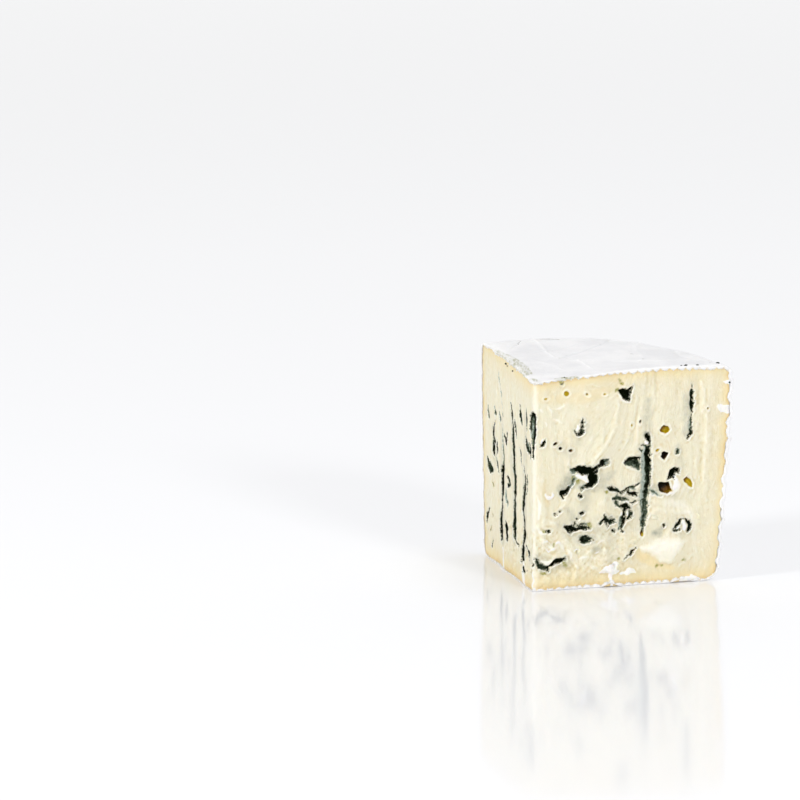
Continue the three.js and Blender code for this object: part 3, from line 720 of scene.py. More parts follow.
gasHoles = [  # place, height, width, tall, lean, depth, tone from 0, yellow, to 1, dark brown
    (14.3, 81.5, 2.3, 2.2, 0, 1.2, 0), (23.1, 80.9, 1.3, 0.8, -30, 0.5, 0.35),
    (30.6, 80.6, 1.1, 0.8, 0, 0.4, 0.1), (5.4, 79.8, 1.4, 0.9, 0, 0.5, 0), (9.6, 60.9, 2, 1, 15, 0.9, 0.95),
    (12, 58.7, 1.4, 1.2, 0, 0.9, 1), (16.2, 57.9, 1.5, 1.2, 0, 0.9, 1), (46.4, 68.2, 1.1, 1.5, -20, 0.9, 1),
    (53.9, 55.9, 1.7, 1.1, 25, 0.7, 0.1), (42.7, 67, 0.9, 1.2, 0, 0.5, 0.1),
    (75.6, 72.4, 0.9, 0.9, 0, 0.5, 0.5), (47.3, 21.6, 1.3, 2.4, 0, 0.7, 0.45),
    (-62.5, 60.5, 1.8, 1.4, 0, 0.8, 0.1), (-8.5, 7, 1, 1, 0, 0.5, 0.5),
]
oliveSpots = [  # place, height, size
    (12.2, 86.2, 1.7), (37.4, 86, 1.1), (37.8, 84.4, 1.3), (36, 81.6, 1.5), (14.8, 10, 0.8),
    (5.2, 7.6, 1.1), (4.2, 7.3, 1.1), (24.4, 26.6, 1.3), (17.4, 46, 2.2), (32, 39.6, 1.4),
    (19.4, 44.8, 1.6), (54.1, 7.6, 1.2), (55.9, 7.5, 1), (66, 9.2, 0.9), (9, 18.9, 0.8), (19.3, 15.6, 0.9),
    (13, 11.4, 0.9), (14, 10.5, 1.1), (37.3, 11.6, 1), (24.6, 25.8, 1), (4.4, 25.2, 1),
]
hazes = [  # strength and path of grey-green clouding in the paste
    (0.42, [(48.6, 62, 2), (49.2, 70, 2.2), (49.8, 77, 1)]),
    (0.24, [(47.2, 60, 2), (46.8, 50, 2.4), (46.4, 38, 2), (46, 26, 1.6)]),
    (0.55, [(51.6, 41, 0.8), (55.2, 40.4, 3)]),
    (0.3, [(56.4, 38.4, 2), (61, 36.8, 1.8)]),
    (0.45, [(66.6, 78, 0.9), (66.6, 70, 1.6), (66.8, 63, 1.8)]),
    (0.85, [(53.6, 21.4, 1.4), (54.8, 21.6, 1.8)]),
    (0.55, [(27, 16, 1.8), (28.4, 16, 1.2)]),
    (0.5, [(32.4, 46.2, 2.4), (33.8, 46.6, 1.6)]),
    (0.75, [(12.6, 42, 2.6), (15.4, 45.2, 4.2), (18, 48.4, 2.4)]),
    (0.22, [(11.8, 60.4, 2), (14.6, 58, 3), (17, 56.6, 1.6)]),
    (0.34, [(23.6, 41, 1.6), (22.4, 37.6, 2.6), (22, 33.4, 3.2), (20.4, 30.4, 1.6)]),
    (0.36, [(14.6, 33.6, 1.2), (17, 31, 2.4), (18, 28.6, 2)]),
    (0.4, [(18, 47, 6), (25, 46, 9), (29, 43, 5)]),
    (0.2, [(35, 38, 8), (40, 31, 12), (44, 26, 6)]),
    (0.24, [(14, 27, 7), (22, 23, 9), (32, 27, 7)]),
    (0.32, [(-2, 14, 5), (6, 11, 5), (14, 11, 4)]),
    (0.14, [(61, 26, 4), (66, 22, 6)]),
    (0.26, [(62.4, 56.6, 2), (63.6, 49, 2.6)]),
    (0.26, [(20.4, 67.6, 4), (19.6, 61, 2)]),
    (0.3, [(-52, 60, 4), (-50, 30, 6), (-49, 12, 3)]),
    (0.26, [(-34, 66, 5), (-31, 40, 6), (-29, 16, 4)]),
    (0.28, [(-12, 70, 5), (-13, 45, 6), (-13, 14, 5)]),
    (0.3, [(-65, 56, 5), (-63, 46, 6)]),
    (0.22, [(34, 12, 3), (34.2, 18, 3), (34, 26, 2)]),
]
ridges = [  # height and path of paste pulled up by the knife
    (0.45, [(36.6, 76, 0.7), (35.8, 70, 1.4), (33.8, 64, 1.3), (30.6, 58.6, 1.3), (27, 54.4, 0.7)]),
    (0.35, [(73, 83.6, 0.7), (73.6, 78, 1.9), (73.2, 71.4, 0.9)]),
    (0.24, [(75.4, 74, 0.8), (75.8, 60, 2.4), (74.8, 46, 1.8), (75.2, 34, 0.8)]),
    (0.3, [(70.6, 66, 0.8), (71.2, 54, 2), (70.4, 44, 0.8)]),
    (0.32, [(15.4, 66, 0.7), (15.8, 60, 1.3), (15.2, 52, 0.7)]),
    (0.3, [(6.6, 76, 0.5), (7.4, 74.6, 1.4), (7.6, 73, 0.6)]),
    (0.28, [(9.6, 75.4, 0.6), (11.4, 75.6, 1.5), (12.8, 76.4, 0.7)]),
    (0.25, [(9, 71.2, 0.6), (10.6, 70.6, 1.5), (12, 69.6, 0.7)]),
    (0.3, [(30, 66.6, 0.6), (29, 58, 1), (25.2, 51.8, 0.6)]),
    (0.24, [(44.8, 79, 0.7), (42.6, 70, 1.2), (40.2, 60, 0.7)]),
    (0.24, [(46.6, 74, 0.7), (45.2, 66, 1.1), (44.8, 58, 0.7)]),
    (0.26, [(52, 62, 0.8), (51.6, 50, 1.4), (51.4, 38, 0.8)]),
    (0.4, [(3.6, 46, 1.2), (4, 36, 1.8), (4.6, 26, 1.4), (4, 18, 1)]),
    (0.34, [(13, 44, 0.6), (14.8, 38, 1.4), (12.2, 34, 0.6)]),
    (0.55, [(14, 20, 2), (16.8, 15.4, 3), (18.7, 9.8, 1.2)]),
    (0.4, [(24.8, 15.6, 1.4), (22.2, 12.6, 2.4), (19.8, 8.8, 0.8)]),
    (0.5, [(4.2, 21.6, 1.2), (6, 18.2, 2.8), (9.6, 18, 2.2), (12, 20.2, 1.4)]),
    (0.35, [(24, 9.6, 0.8), (27.4, 7.8, 2), (30.4, 9.4, 0.8)]),
    (0.35, [(1.8, 26, 1.2), (5.2, 28.8, 2.4), (9, 27.8, 1.2)]),
    (0.35, [(9, 14, 1), (12, 15.6, 2.2), (14, 14, 1)]),
    (0.3, [(26, 22, 1), (30, 20.4, 2.4), (33, 17.6, 1)]),
    (0.3, [(64, 7.4, 0.5), (66.4, 8.6, 1.2), (69.4, 11.4, 0.7)]),
    (0.28, [(50, 28, 0.6), (54, 31, 1.6), (60, 30, 1.4), (68, 29.4, 0.8)]),
    (0.3, [(-24, 44, 1.2), (-23.6, 28, 3.4), (-24.6, 14, 1.2)]),
    (0.28, [(-62, 84, 0.8), (-58, 60, 2.2), (-57, 30, 1.2)]),
    (0.28, [(-44, 80, 0.8), (-40, 66, 2.4), (-38, 44, 1)]),
    (0.26, [(-7, 50, 1.2), (-7.4, 30, 2.4), (-6.4, 12, 1.2)]),
]
softLump = {  # the big soft lump near the foot of the right face
    "height": 1.6,  # how far it stands out
    "corners": [(45.8, 15.8), (48.8, 17), (51.8, 18.4), (55.3, 19.4), (59.7, 19.4), (64.1, 18.8),
                (66.8, 17.4), (65.6, 15), (63.8, 12.6), (62.2, 10.2), (60.6, 8), (58.4, 7.4), (55.4, 8.4),
                (52.3, 10.8), (49.7, 12.8), (47, 14.4)],
}
palePatches = [  # strength and path of paler paste
    (0.5, [(57, 34, 1), (61.6, 33.6, 2.4), (65.6, 31.6, 3), (68.4, 28, 2.6), (70.6, 21.6, 1.6)]),
    (0.3, [(70.6, 21.6, 1.6), (70.8, 15.6, 1.6), (70, 11.4, 0.8)]),
]
creamLumps = [  # height and path of soft paste smeared on the face
    (0.8, [(18.3, 46.8, 1), (20.6, 46.3, 2), (22.8, 45.8, 2.6), (23.7, 44.9, 1.5)]),
    (0.7, [(61.8, 43.6, 1.4), (62.4, 41.2, 3.4), (61.8, 38.6, 1.8), (60.2, 37, 0.7)]),
    (0.6, [(5.4, 40.4, 0.8), (6.4, 38.7, 1.4), (8.2, 38.9, 1.1), (8.5, 40.6, 0.7)]),
    (0.4, [(36.8, 80.2, 0.8), (38.2, 78, 1.2), (40.4, 76.6, 0.8)]),
    (0.3, [(2.4, 75.6, 0.2), (3.4, 75.2, 0.7), (4.2, 74.4, 0.2)]),
    (0.3, [(6.6, 75.8, 0.2), (7.3, 75, 0.8), (7.6, 73.8, 0.2)]),
    (0.3, [(10, 75.6, 0.2), (11.4, 75.7, 0.6), (12.6, 76.2, 0.2)]),
    (0.3, [(9.4, 71, 0.2), (10.4, 70.8, 0.7), (11.4, 70.1, 0.2)]),
    (0.3, [(5.2, 70.4, 0.2), (5.6, 69.4, 0.6), (5.5, 68.2, 0.2)]),
    (0.5, [(1.6, 40, 0.6), (2.6, 35, 1.5), (2.2, 30, 0.8)]),
    (0.4, [(1.8, 26.8, 0.6), (3.2, 24.4, 1.4), (5.4, 24, 0.8)]),
    (0.5, [(10.6, 20, 0.6), (12.4, 18.6, 1.4), (13.6, 16.2, 0.6)]),
    (0.4, [(14.8, 17, 0.4), (16.4, 15, 1.2), (16.2, 12.6, 0.6)]),
    (0.4, [(6.6, 18.8, 0.5), (8.4, 17.4, 1.2), (10, 17.8, 0.5)]),
    (0.4, [(19.8, 12.4, 0.4), (21.6, 13.4, 1), (23.6, 13, 0.4)]),
    (0.3, [(27.6, 18.6, 0.4), (29.4, 19.8, 0.9), (31.4, 19.4, 0.4)]),
    (0.5, [(3.6, 12.4, 0.8), (6.4, 11.6, 1.6), (8, 12.6, 0.8)]),
    (0.3, [(20, 68.6, 0.8), (19.2, 66.6, 1.3), (18.9, 65.9, 0.7)]),
]
whiteGrowths = [  # height and path of white bits: mould grown out of slits near the rind, and crumbs
    (0.5, [(18.9, 46.9, 0.7), (20.6, 46.5, 1.7), (22.4, 46.1, 2.2), (23.6, 45, 1)]),
    (0.3, [(14.4, 43, 0.5), (15.6, 43.5, 1.1), (16.6, 44.2, 0.5)]),
    (0.3, [(19.3, 68.2, 0.6), (19, 66.8, 1.3), (18.6, 66, 0.5)]),
    (0.3, [(39.2, 35.5, 0.6), (40.4, 35.4, 1), (41.4, 34.5, 0.7)]),
    (0.3, [(37.7, 31.8, 0.5), (38.1, 30.2, 0.9), (37.9, 28.8, 0.4)]),
    (0.3, [(41, 31, 0.7), (40.6, 29.6, 0.8)]),
    (0.3, [(63.2, 23.6, 0.9), (62.8, 22.9, 1.2)]),
    (0.3, [(65.2, 25.4, 1), (65.6, 23.8, 1.8), (66.2, 22.6, 1.2)]),
    (0.2, [(61, 45, 0.5), (62, 43.6, 1.5), (61.9, 41.4, 2.2), (61.2, 39.4, 1)]),
    (0.2, [(55.4, 38.3, 0.4), (57.4, 37, 0.6), (60, 37.6, 0.6), (61.2, 38.6, 0.4)]),
    (0.2, [(51, 40.2, 0.2), (52.8, 38.6, 0.5), (54.4, 37.6, 0.2)]),
    (0.25, [(3.9, 20.4, 0.3), (5.9, 20.9, 0.7), (7.8, 19.3, 0.4)]),
    (0.25, [(4.8, 18.6, 0.3), (6.5, 16.8, 0.9), (9.3, 18, 0.4)]),
    (0.25, [(10, 19, 0.5), (11.5, 19.7, 0.9), (12.6, 19.1, 0.4)]),
    (0.25, [(17.8, 16, 0.6), (18.9, 16.5, 0.6)]),
    (0.25, [(27.4, 14.5, 0.6), (28.2, 14.8, 0.6)]),
    (0.2, [(47.9, 59.9, 0.5), (48.7, 59, 0.6)]),
    (0.25, [(2.9, 61.2, 0.4), (3.2, 62.2, 0.9), (4, 63.2, 0.4)]),
    (0.4, [(5.5, 40.4, 0.4), (6, 39.2, 0.7), (7.3, 38.7, 0.9), (8.5, 39.3, 0.7), (8.8, 40.3, 0.4)]),
    (0.5, [(28.8, 6.2, 0.9), (30.8, 6.6, 2), (32.6, 7.2, 2.8), (34.4, 6.6, 2.4), (36.8, 6.4, 1.2)]),
    (0.5, [(34.6, 8.6, 3.4), (35.2, 8.8, 3.4)]),
    (0.4, [(34, 6.4, 1.8), (33.8, 3.6, 1.2), (34, 0.5, 1.6)]),
    (0.4, [(38.4, 5.2, 0.8), (40.4, 5.7, 1.5), (42.3, 6.4, 2.4), (44.8, 5.6, 1)]),
    (0.5, [(64, 0.6, 0.8), (66.2, 1.5, 1.6), (68, 1.3, 1.4), (69.6, 1.8, 1.8), (72.4, 1, 1.2)]),
    (0.3, [(80.9, 73, 1.8), (82, 72.4, 3), (84, 71.8, 3.4), (86.5, 71.8, 3.2)]),
    (0.3, [(82.8, 83.3, 0.8), (84.4, 83, 1.9), (86.5, 82.8, 2)]),
    (0.3, [(84.2, 82.6, 1.2), (85.4, 82.6, 2.4)]),
    (0.2, [(-49, 8.4, 1.6), (-47.8, 4, 2.8), (-47, 0.4, 2.8)]),
    (0.2, [(-13.4, 8.6, 1.6), (-12.6, 4, 2.8), (-11.8, 0.3, 2.8)]),
    (0.3, [(-0.6, 8, 0.5), (-0.4, 3, 0.9), (-0.3, 0.3, 0.9)]),
]
# the open end of the needle hole above the first white growth at the foot
whiteHollow = {"middle": (34.9, 8.7), "wide": 1.9, "tall": 1.8, "depth": 1.5}


pasteRelief = {  # heights and depths of what the knife and the mould left, in millimetres
    "streak": 0.15,
    "fineStreak": 0.09,
    "thread": 0.15,
    "curd": 0.40,
    "smallCurd": 0.26,
    "fold": 0.22,
    "wave": 0.20,
    "dent": 0.22,
    "dotPit": 0.9,
    "olivePit": 0.4,
    "rim": 0.20,
    "unevenRim": 0.15,
    "litRim": 0.25,
    "rimWidth": 0.40,
    "streakLean": 0.42,  # how far streaks lean over in the middle of the right face
    "wander": 1.8,  # and how far they wander
    "crumblyHeight": 32,  # the paste is crumbly below this
    "crumblyReach": 46,  # and up to this distance from the front edge
    "ripeDepth": 2.4,  # of the yellower paste along the rind
}


# Streaks, curds and dents that the knife left. Gives back how far the paste stands out, the
# place that each streak comes from, and how crumbly the paste is.
def knifeMarks(place, height, wornX, wornZ, endRoom):
    relief = pasteRelief
    leanFrom = 46  # height
    lean = relief["streakLean"] * np.exp(-((place - 36) / 13) ** 2) * ease(height, leanFrom, 62)
    drawn = place - lean * (height - leanFrom) + relief["wander"] * hills(place, height, 11, 10)
    streaks = relief["streak"] * hills(drawn, height / 9, 2.4, 11)
    streaks += relief["fineStreak"] * hills(drawn, height / 5, 1.1, 12)
    threads = (1 - np.abs(hills(drawn, height / 6, 3.0, 13))) ** 7
    torn = hills(wornX, wornZ, 5.0, 18)
    calm = 1 - 0.5 * ease(-endRoom, -8, -3) * ease(height, 10, 20)
    proud = (streaks + relief["thread"] * threads * ease(torn, -0.3, 0.5)) * calm
    low = ease(relief["crumblyHeight"] - height, 0, 14)
    curdy = 0.30 + 0.70 * low * ease(relief["crumblyReach"] - np.abs(place), -8, 12)
    curds = relief["curd"] * hills(wornX, wornZ, 4.4, 14)
    curds += relief["smallCurd"] * hills(wornX, wornZ, 1.7, 15)
    folds = (1 - np.abs(hills(wornX, wornZ, 5.2, 19))) ** 6
    proud += curdy * (curds + relief["fold"] * folds * ease(-torn, -0.2, 0.4))
    proud += relief["wave"] * hills(place, height, 7, 16)
    dents = hills(place, height, 1.5, 20) + 0.4 * hills(place, height, 4, 9)
    proud -= relief["dent"] * curdy * ease(dents, 0.55, 0.85)
    return proud, drawn, curdy


# Presses paste up into a smooth dome
def pressUp(proud, dome, stands):
    smooth = np.maximum(proud * (1 - dome) + stands * dome, proud * 0.4)
    return np.where(dome > 0, smooth, proud)


# Adds ridges, soft lumps and white bits to the paste. Gives back how far it stands out then,
# and how cream-coloured and how white it is.
def softPaste(proud, place, height, wornX, wornZ):
    smoothX, smoothZ = 0.4 * wornX + 0.6 * place, 0.4 * wornZ + 0.6 * height
    for stands, path in ridges:
        proud += stands * ease(-ribbonDistance(smoothX, smoothZ, path), -1.0, 0.6)
    gap = patchDistance(smoothX, smoothZ, softLump["corners"])
    upper = ease(height, 12.5, 18.0)  # it melts into the face along its upper edge
    proud = pressUp(proud, ease(-gap, -0.5, 2.8) * (1 - 0.4 * upper), softLump["height"])
    # the lump's cream fades towards its foot: painted shade on its lower side
    cream = (0.30 + 0.48 * ease(height, 8, 16)) * ease(-gap, -0.6 - 1.3 * upper, 2.0 + upper)
    cream = np.maximum(cream, strongest(wornX, wornZ, palePatches, 1.8, 1.2))
    for stands, path in creamLumps:
        gap = ribbonDistance(smoothX, smoothZ, path)
        proud = pressUp(proud, ease(-gap, -0.5, 2.6), stands)
        cream = np.maximum(cream, ease(-gap, -0.35, 0.4))
    white = np.zeros_like(place)
    for stands, path in whiteGrowths:
        gap = ribbonDistance(wornX, wornZ, path)
        proud += stands * ease(-gap, -0.4, 0.5)
        white = np.maximum(white, ease(-gap, -0.6, 0.6))
    gap = ovalDistance(place, height, whiteHollow["middle"], whiteHollow["tall"], whiteHollow["wide"])
    proud -= whiteHollow["depth"] * ease(-gap, -0.3, 0.4)
    return proud, cream, white


# Hollows in the paste: the distance to the edge of the nearest one, the value of what lines
# it, and how deep it is
class Hollows:
    def __init__(self, shape, lining):
        self.edge = np.full(shape, outOfReach)
        self.lining = np.full(shape, lining)
        self.sunk = np.zeros(shape)

    def add(self, gap, lining, depth, outside, inside):
        self.lining = np.where(gap < self.edge, lining, self.lining)
        self.edge = np.minimum(self.edge, gap)
        self.sunk = np.maximum(self.sunk, depth * ease(-gap, -outside, inside))


# Hollows lined with blue mould, and how downy it is
def mouldHollows(place, height, wornX, wornZ, tornX, tornZ):
    mould = Hollows(place.shape, 0.3)
    for depth, downy, path in growths:
        mould.add(ribbonDistance(wornX, wornZ, path), downy, depth, 0.25, 0.75 + 0.25 * depth)
    mould.lining = np.maximum(mould.lining, strongest(wornX, wornZ, paleFlanks, 0.5, 0.2))
    for path in crumbs:
        gap = ribbonDistance(wornX, wornZ, path)
        mould.edge = np.maximum(mould.edge, 0.2 - gap)
        mould.sunk = mould.sunk * (1 - ease(-gap, -0.3, 0.4))
    dotX, dotZ = place + 0.6 * (wornX - place), height + 0.6 * (wornZ - height)
    for x, z, size in mouldDots:
        mould.add(ovalDistance(dotX, dotZ, (x, z), size, size), 0, pasteRelief["dotPit"], 0.3, 0.5)
    for x, z, wide, tall, depth, downy in ovalMoulds:
        mould.add(ovalDistance(wornX, wornZ, (x, z), tall, wide), downy, depth, 0.25, 1.2)
    for depth, downy, corners in tornPockets:
        mould.add(patchDistance(tornX, tornZ, corners), downy, depth, 0.2, 0.7)
    return mould


# Bare holes, how dark they are inside, and how bright their rims may be. Shade is painted
# on the left and upper walls of each hole, over its own tone.
def bareHoles(place, height, wornX, wornZ, tornX, tornZ):
    holes = Hollows(place.shape, 0.0)
    # how much darker the painted shade makes the left and upper walls
    wallShade = 0.55  # of the dark walls
    for depth, dark, corners in tornHoles:
        (left, low), (right, high) = np.min(corners, axis=0), np.max(corners, axis=0)
        slope = (left + right - 2 * place) / (right - left) + (2 * height - low - high) / (high - low)
        dark = dark + wallShade * np.clip(0.7 * slope, -1, 1)
        holes.add(patchDistance(tornX, tornZ, corners), dark, depth, 0.2, 0.8)
    tornEdge = holes.edge
    roundX, roundZ = place + 0.35 * (wornX - place), height + 0.35 * (wornZ - height)
    for x, z, wide, tall, lean, depth, dark in gasHoles:
        dark = dark + wallShade * np.clip((x - place) / wide * 1.6 + (height - z) / tall * 0.8, -1, 1)
        gap = ovalDistance(roundX, roundZ, (x, z), tall, wide, lean)
        holes.add(gap, dark, depth, 0.2, 0.25 * min(wide, tall))
    return holes, np.where(holes.edge < tornEdge, 0.3, 1)


# From 0 well outside an edge to 1 on it and 2 well inside
def nearness(gap):
    return np.clip(1 - gap / 3, 0, 2)


# The relief of the cut surface and what is painted on it, at places given as arrays. topEdge
# is the height of the top above each place, and endRoom how far the face still goes on.
def cutRelief(place, height, topEdge, endRoom):
    wornX = place + 0.55 * hills(place, height, 2.4, 1) + 0.38 * hills(place, height, 1.1, 2)
    wornZ = height + 0.55 * hills(place, height, 2.4, 3) + 0.38 * hills(place, height, 1.1, 4)
    tornX = 0.5 * (place + wornX) + 0.25 * hills(place, height, 0.9, 29)
    tornZ = 0.5 * (height + wornZ) + 0.25 * hills(place, height, 0.9, 30)
    proud, drawn, curdy = knifeMarks(place, height, wornX, wornZ, endRoom)
    proud, cream, white = softPaste(proud, place, height, wornX, wornZ)
    mould = mouldHollows(place, height, wornX, wornZ, tornX, tornZ)
    holes, shine = bareHoles(place, height, wornX, wornZ, tornX, tornZ)
    relief = pasteRelief
    sunk = np.maximum(mould.sunk, holes.sunk)
    olive = np.zeros_like(place)
    for x, z, size in oliveSpots:
        gap = ovalDistance(wornX, wornZ, (x, z), size, size)
        olive = np.maximum(olive, ease(-gap, -0.5, 0.2))
        sunk = np.maximum(sunk, relief["olivePit"] * ease(-gap, -0.3, 0.4))

    # rims round the hollows, brightest where they face up and out of them
    brim = np.minimum(mould.edge, holes.edge)
    rim = np.exp(-((brim - 0.50) / relief["rimWidth"]) ** 2)
    slopeX = np.gradient(brim, axis=1) / np.gradient(place, axis=1) * np.sign(place)
    slopeZ = np.gradient(brim, axis=0) / np.gradient(height, axis=0)
    lit = np.clip(0.55 * slopeX - 0.85 * slopeZ, 0, 1) * np.where(holes.edge < mould.edge, shine, 1)
    swell = np.where(place < -3, 0.4, 1)  # the left face stays flatter
    uneven = relief["unevenRim"] * hills(place, height, 1.7, 17)
    proud += swell * rim * (relief["rim"] + uneven + relief["litRim"] * lit)
    around = proud
    for axis in (0, 1):
        for step in (-3, -2, -1, 1, 2, 3):
            around = around + np.roll(proud, step, axis=axis)
    # lofty is used to paint highlights on the paste's ridges and shade in its hollows
    lofty = proud - around / 13  # above 0 on ridges and below it in hollows
    # pale is cream paste, with a painted highlight on the rims of the hollows and along the rounded front
    # edge
    pale = np.maximum(np.maximum(cream, 0.25 * rim), 0.55 * np.exp(-(place / 1.6) ** 2))

    # the paste is riper along the rind
    border = np.minimum(np.minimum(topEdge - height, endRoom), height)
    depth = relief["ripeDepth"] + 0.8 * hills(place, height, 12, 8)
    depth = depth + 2.2 * ease(-height, -14, -4) + ease(height, 74, 82)
    ripe = np.exp(-np.maximum(0, border - 0.9) / depth)
    # yellower paste along some paths, and painted shadow beside the white curl and under the soft lump
    ripe = np.maximum(ripe, strongest(wornX, wornZ, honeyAndShadows, 1.6, 1.0))
    ripe = ripe * (1 - 0.35 * ease(place, 60, 74) * ease(55 - height, 0, 25) * ease(height, 4, 9))
    values = {
        "mould": nearness(mould.edge), "fuzz": mould.lining, "hole": nearness(holes.edge),
        "toneAndShade": holes.lining, "olive": olive, "haze": strongest(wornX, wornZ, hazes, 2.2, 0.8),
        "pale": pale, "ripe": ripe, "white": white, "lofty": lofty, "comb": drawn, "lit": lit,
        "curdy": curdy - 0.2,
    }
    return (proud - sunk) * ease(border, 0.2, 1.6), values


pasteGrid = {
    "levels": 212,  # rings up the cut faces
    "rightColumns": 200,
    "leftColumns": 160,
    "edgeColumns": 10,
    "backColumns": 24,
    "bottom": 0.35,  # height of the lowest ring
    "headroom": 0.45,  # and how far the highest one stays under the top
    "hidden": 0.6,  # how far the paste stays in under the rind at the cut border
    "cover": 1.6,  # and how deep it lies under the rest of the rind
    "caps": (0.97, 0.6),  # sizes of the rings that close the top and the bottom
}


# Faces between closed rings of points that follow each other
def closedRings(ringCount, columns):
    ring = np.arange(ringCount - 1)[:, None] * columns
    here, after = np.arange(columns), (np.arange(columns) + 1) % columns
    low, lowNext = ring + here, ring + after
    quads = np.stack([low, lowNext, lowNext + columns, low + columns], axis=-1)
    return quads.reshape(-1, 4).tolist()


def makePaste():
    grid = pasteGrid
    cornerHeight = wedge["cornerHeight"]
    height = np.linspace(grid["bottom"], cornerHeight - grid["headroom"], grid["levels"])[:, None]
    places = {}
    for side, count in ((1, grid["rightColumns"]), (-1, grid["leftColumns"])):
        part = np.arange(1, count + 1)[None, :] / count
        end = faceEnd(side, height) - grid["hidden"]
        places[side] = side * (edgeTangent + part * (end - edgeTangent))
    edge = np.linspace(-edgeTangent, edgeTangent, grid["edgeColumns"] + 1)[None, :]
    edge = np.broadcast_to(edge, (grid["levels"], edge.size))
    place = np.hstack([places[-1][:, ::-1], edge, places[1]])
    level = np.broadcast_to(height, place.shape)
    x, y = cutPoint(place, level, 0)
    topEdge = topHeight(x, y)
    z = level * topEdge / cornerHeight
    end = np.where(place > 0, faceEnd(1, level), faceEnd(-1, level))
    proud, values = cutRelief(place, z, topEdge, end - np.abs(place))
    x, y = cutPoint(place, level, proud)

    part = 1 - 2 * np.arange(1, grid["backColumns"])[None, :] / grid["backColumns"]
    backX, backY = backPoint(part, height, grid["cover"])
    backZ = height * topHeight(backX, backY) / cornerHeight
    rings = np.stack([np.hstack([x, backX]), np.hstack([y, backY]), np.hstack([z, backZ])], axis=-1)
    columns = rings.shape[1]
    pole = np.array([0, 0.55 * wedge["cutLength"], 0])
    low, high = [], []
    for share in grid["caps"]:
        low.append(pole + share * (rings[0] - pole))
        low[-1][:, 2] = rings[0][:, 2]
        high.append(pole + share * (rings[-1] - pole))
        high[-1][:, 2] = topHeight(high[-1][:, 0], high[-1][:, 1]) - grid["cover"]
    allRings = [*low[::-1], *rings, *high]
    points = np.vstack(allRings)
    poles = [pole + (0, 0, grid["bottom"]), pole + (0, 0, topHeight(0.0, pole[1]) - grid["cover"])]
    points = np.vstack([points, poles])
    faces = closedRings(len(allRings), columns)
    last = (len(allRings) - 1) * columns
    bottom, top = len(points) - 2, len(points) - 1
    for i in range(columns):
        after = (i + 1) % columns
        faces.append([bottom, after, i])
        faces.append([top, last + i, last + after])
    padded = {}
    for name, numbers in values.items():
        wide = np.hstack([numbers, np.zeros((grid["levels"], grid["backColumns"] - 1))])
        rows = np.vstack([wide[:1], wide[:1], wide, wide[-1:], wide[-1:]])
        padded[name] = np.append(rows.ravel(), [0, 0])
    return makeMesh("cheese_paste", points, faces, pasteMaterial, padded)


paste = makePaste()
print("paste:", len(paste.data.polygons), "faces")

rindGrid = {
    "columns": 176,
    "topRows": 140,
    "rimRows": 8,
    "wallRows": 132,
    "underRows": 120,
    "borderColumns": 7,  # how many columns follow the cut border
    "lipProud": 0.45,
    "lipRoot": 0.9,
    "lipSteps": [  # rings of the lip: share of its reach, and how far out or in it lies there
        (0.10, 0.55), (0.30, 0.95), (0.62, 1.0), (0.88, 0.85), (1.0, 0.35), (1.04, -1),
    ],
    # the painted light and shade carry on over the lip in full
    "lipPaint": {"green": 1.1, "stain": 0, "shade": 0, "paintedLight": 1},  # how paint carries on over the lip
    "scallopPitch": 3.4,
    "cornerFlare": 1.0,  # how far it stands out past the paste at the right corner
    "sideLength": 66,  # from the middle of the back to a corner
    "topWaves": ((0.20, 13, 23), (0.07, 3.4, 25), (0.03, 1.2, 26)),  # height, size, seed
    "furHeight": 0.75,
    "pleat": 0.28,
    "smallPleat": 0.12,
    "sideGrain": 0.05,
    "dimple": 0.25,
    "crack": 0.22,
    # painted highlight on the cut border and its lips
    "borderHighlight": 0.26,  # how much brighter the cut border is
}
topCreases = [  # height and path over the top, as (x, y, width)
    (0.28, [(-41.5, 75.5, 0.8), (-31.6, 63.3, 1.1), (-22.2, 51.8, 0.9), (-13.8, 41.9, 0.6)]),
    (0.16, [(-13.8, 41.9, 0.7), (-7, 40.6, 1), (-1.2, 41, 0.8)]),
    (0.28, [(-1.2, 41, 0.7), (4.6, 36, 1.1), (11.8, 28.9, 0.5)]),
    (-0.45, [(-9.6, 41.6, 1.2), (-7.9, 54.7, 1.6), (-6.4, 68.2, 1), (-8, 84, 0.8)]),
    (-0.4, [(-42.8, 67.9, 0.9), (-39.9, 57.4, 1.1), (-37.6, 49.2, 0.6)]),
    (-0.3, [(-30, 76, 0.7), (-14, 79.5, 1), (2, 80.5, 0.8)]),
    (0.2, [(6, 84, 0.8), (10, 70, 1.2), (20, 58, 0.9), (24, 46, 0.6)]),
    (0.16, [(-20, 34, 0.6), (-8, 30, 1), (2, 24, 0.6)]),
    (-0.3, [(26, 76, 0.7), (34, 66, 1), (44, 62, 0.7)]),
    (0.2, [(14, 46, 0.6), (28, 52, 1), (40, 62, 0.7), (48, 70, 0.6)]),
    (0.24, [(22, 84, 0.7), (34, 76, 1.2), (46, 68, 0.7)]),
    (-0.3, [(-26, 46, 0.8), (-18, 60, 1.2), (-16, 76, 0.8)]),
]
topShades = [  # strength and path of thin grey marks on the top
    (1, [(-40.4, 72.5, 0.9), (-34.2, 74.2, 1), (-27.9, 74.3, 0.7)]),
    (0.75, [(-44, 72, 0.6), (-41.6, 64, 0.7), (-39.8, 58, 0.4)]),
    (0.7, [(12.2, 61.2, 0.5), (13.2, 61.1, 1), (14.2, 60.8, 0.5)]),
    (0.62, [(21.2, 53.8, 0.5), (22.4, 53.4, 1), (23.6, 53.3, 0.5)]),
    (0.7, [(21, 32.8, 0.5), (21.6, 32.8, 0.5)]),
    (0.7, [(30.1, 33.5, 0.5), (30.7, 33.5, 0.5)]),
]
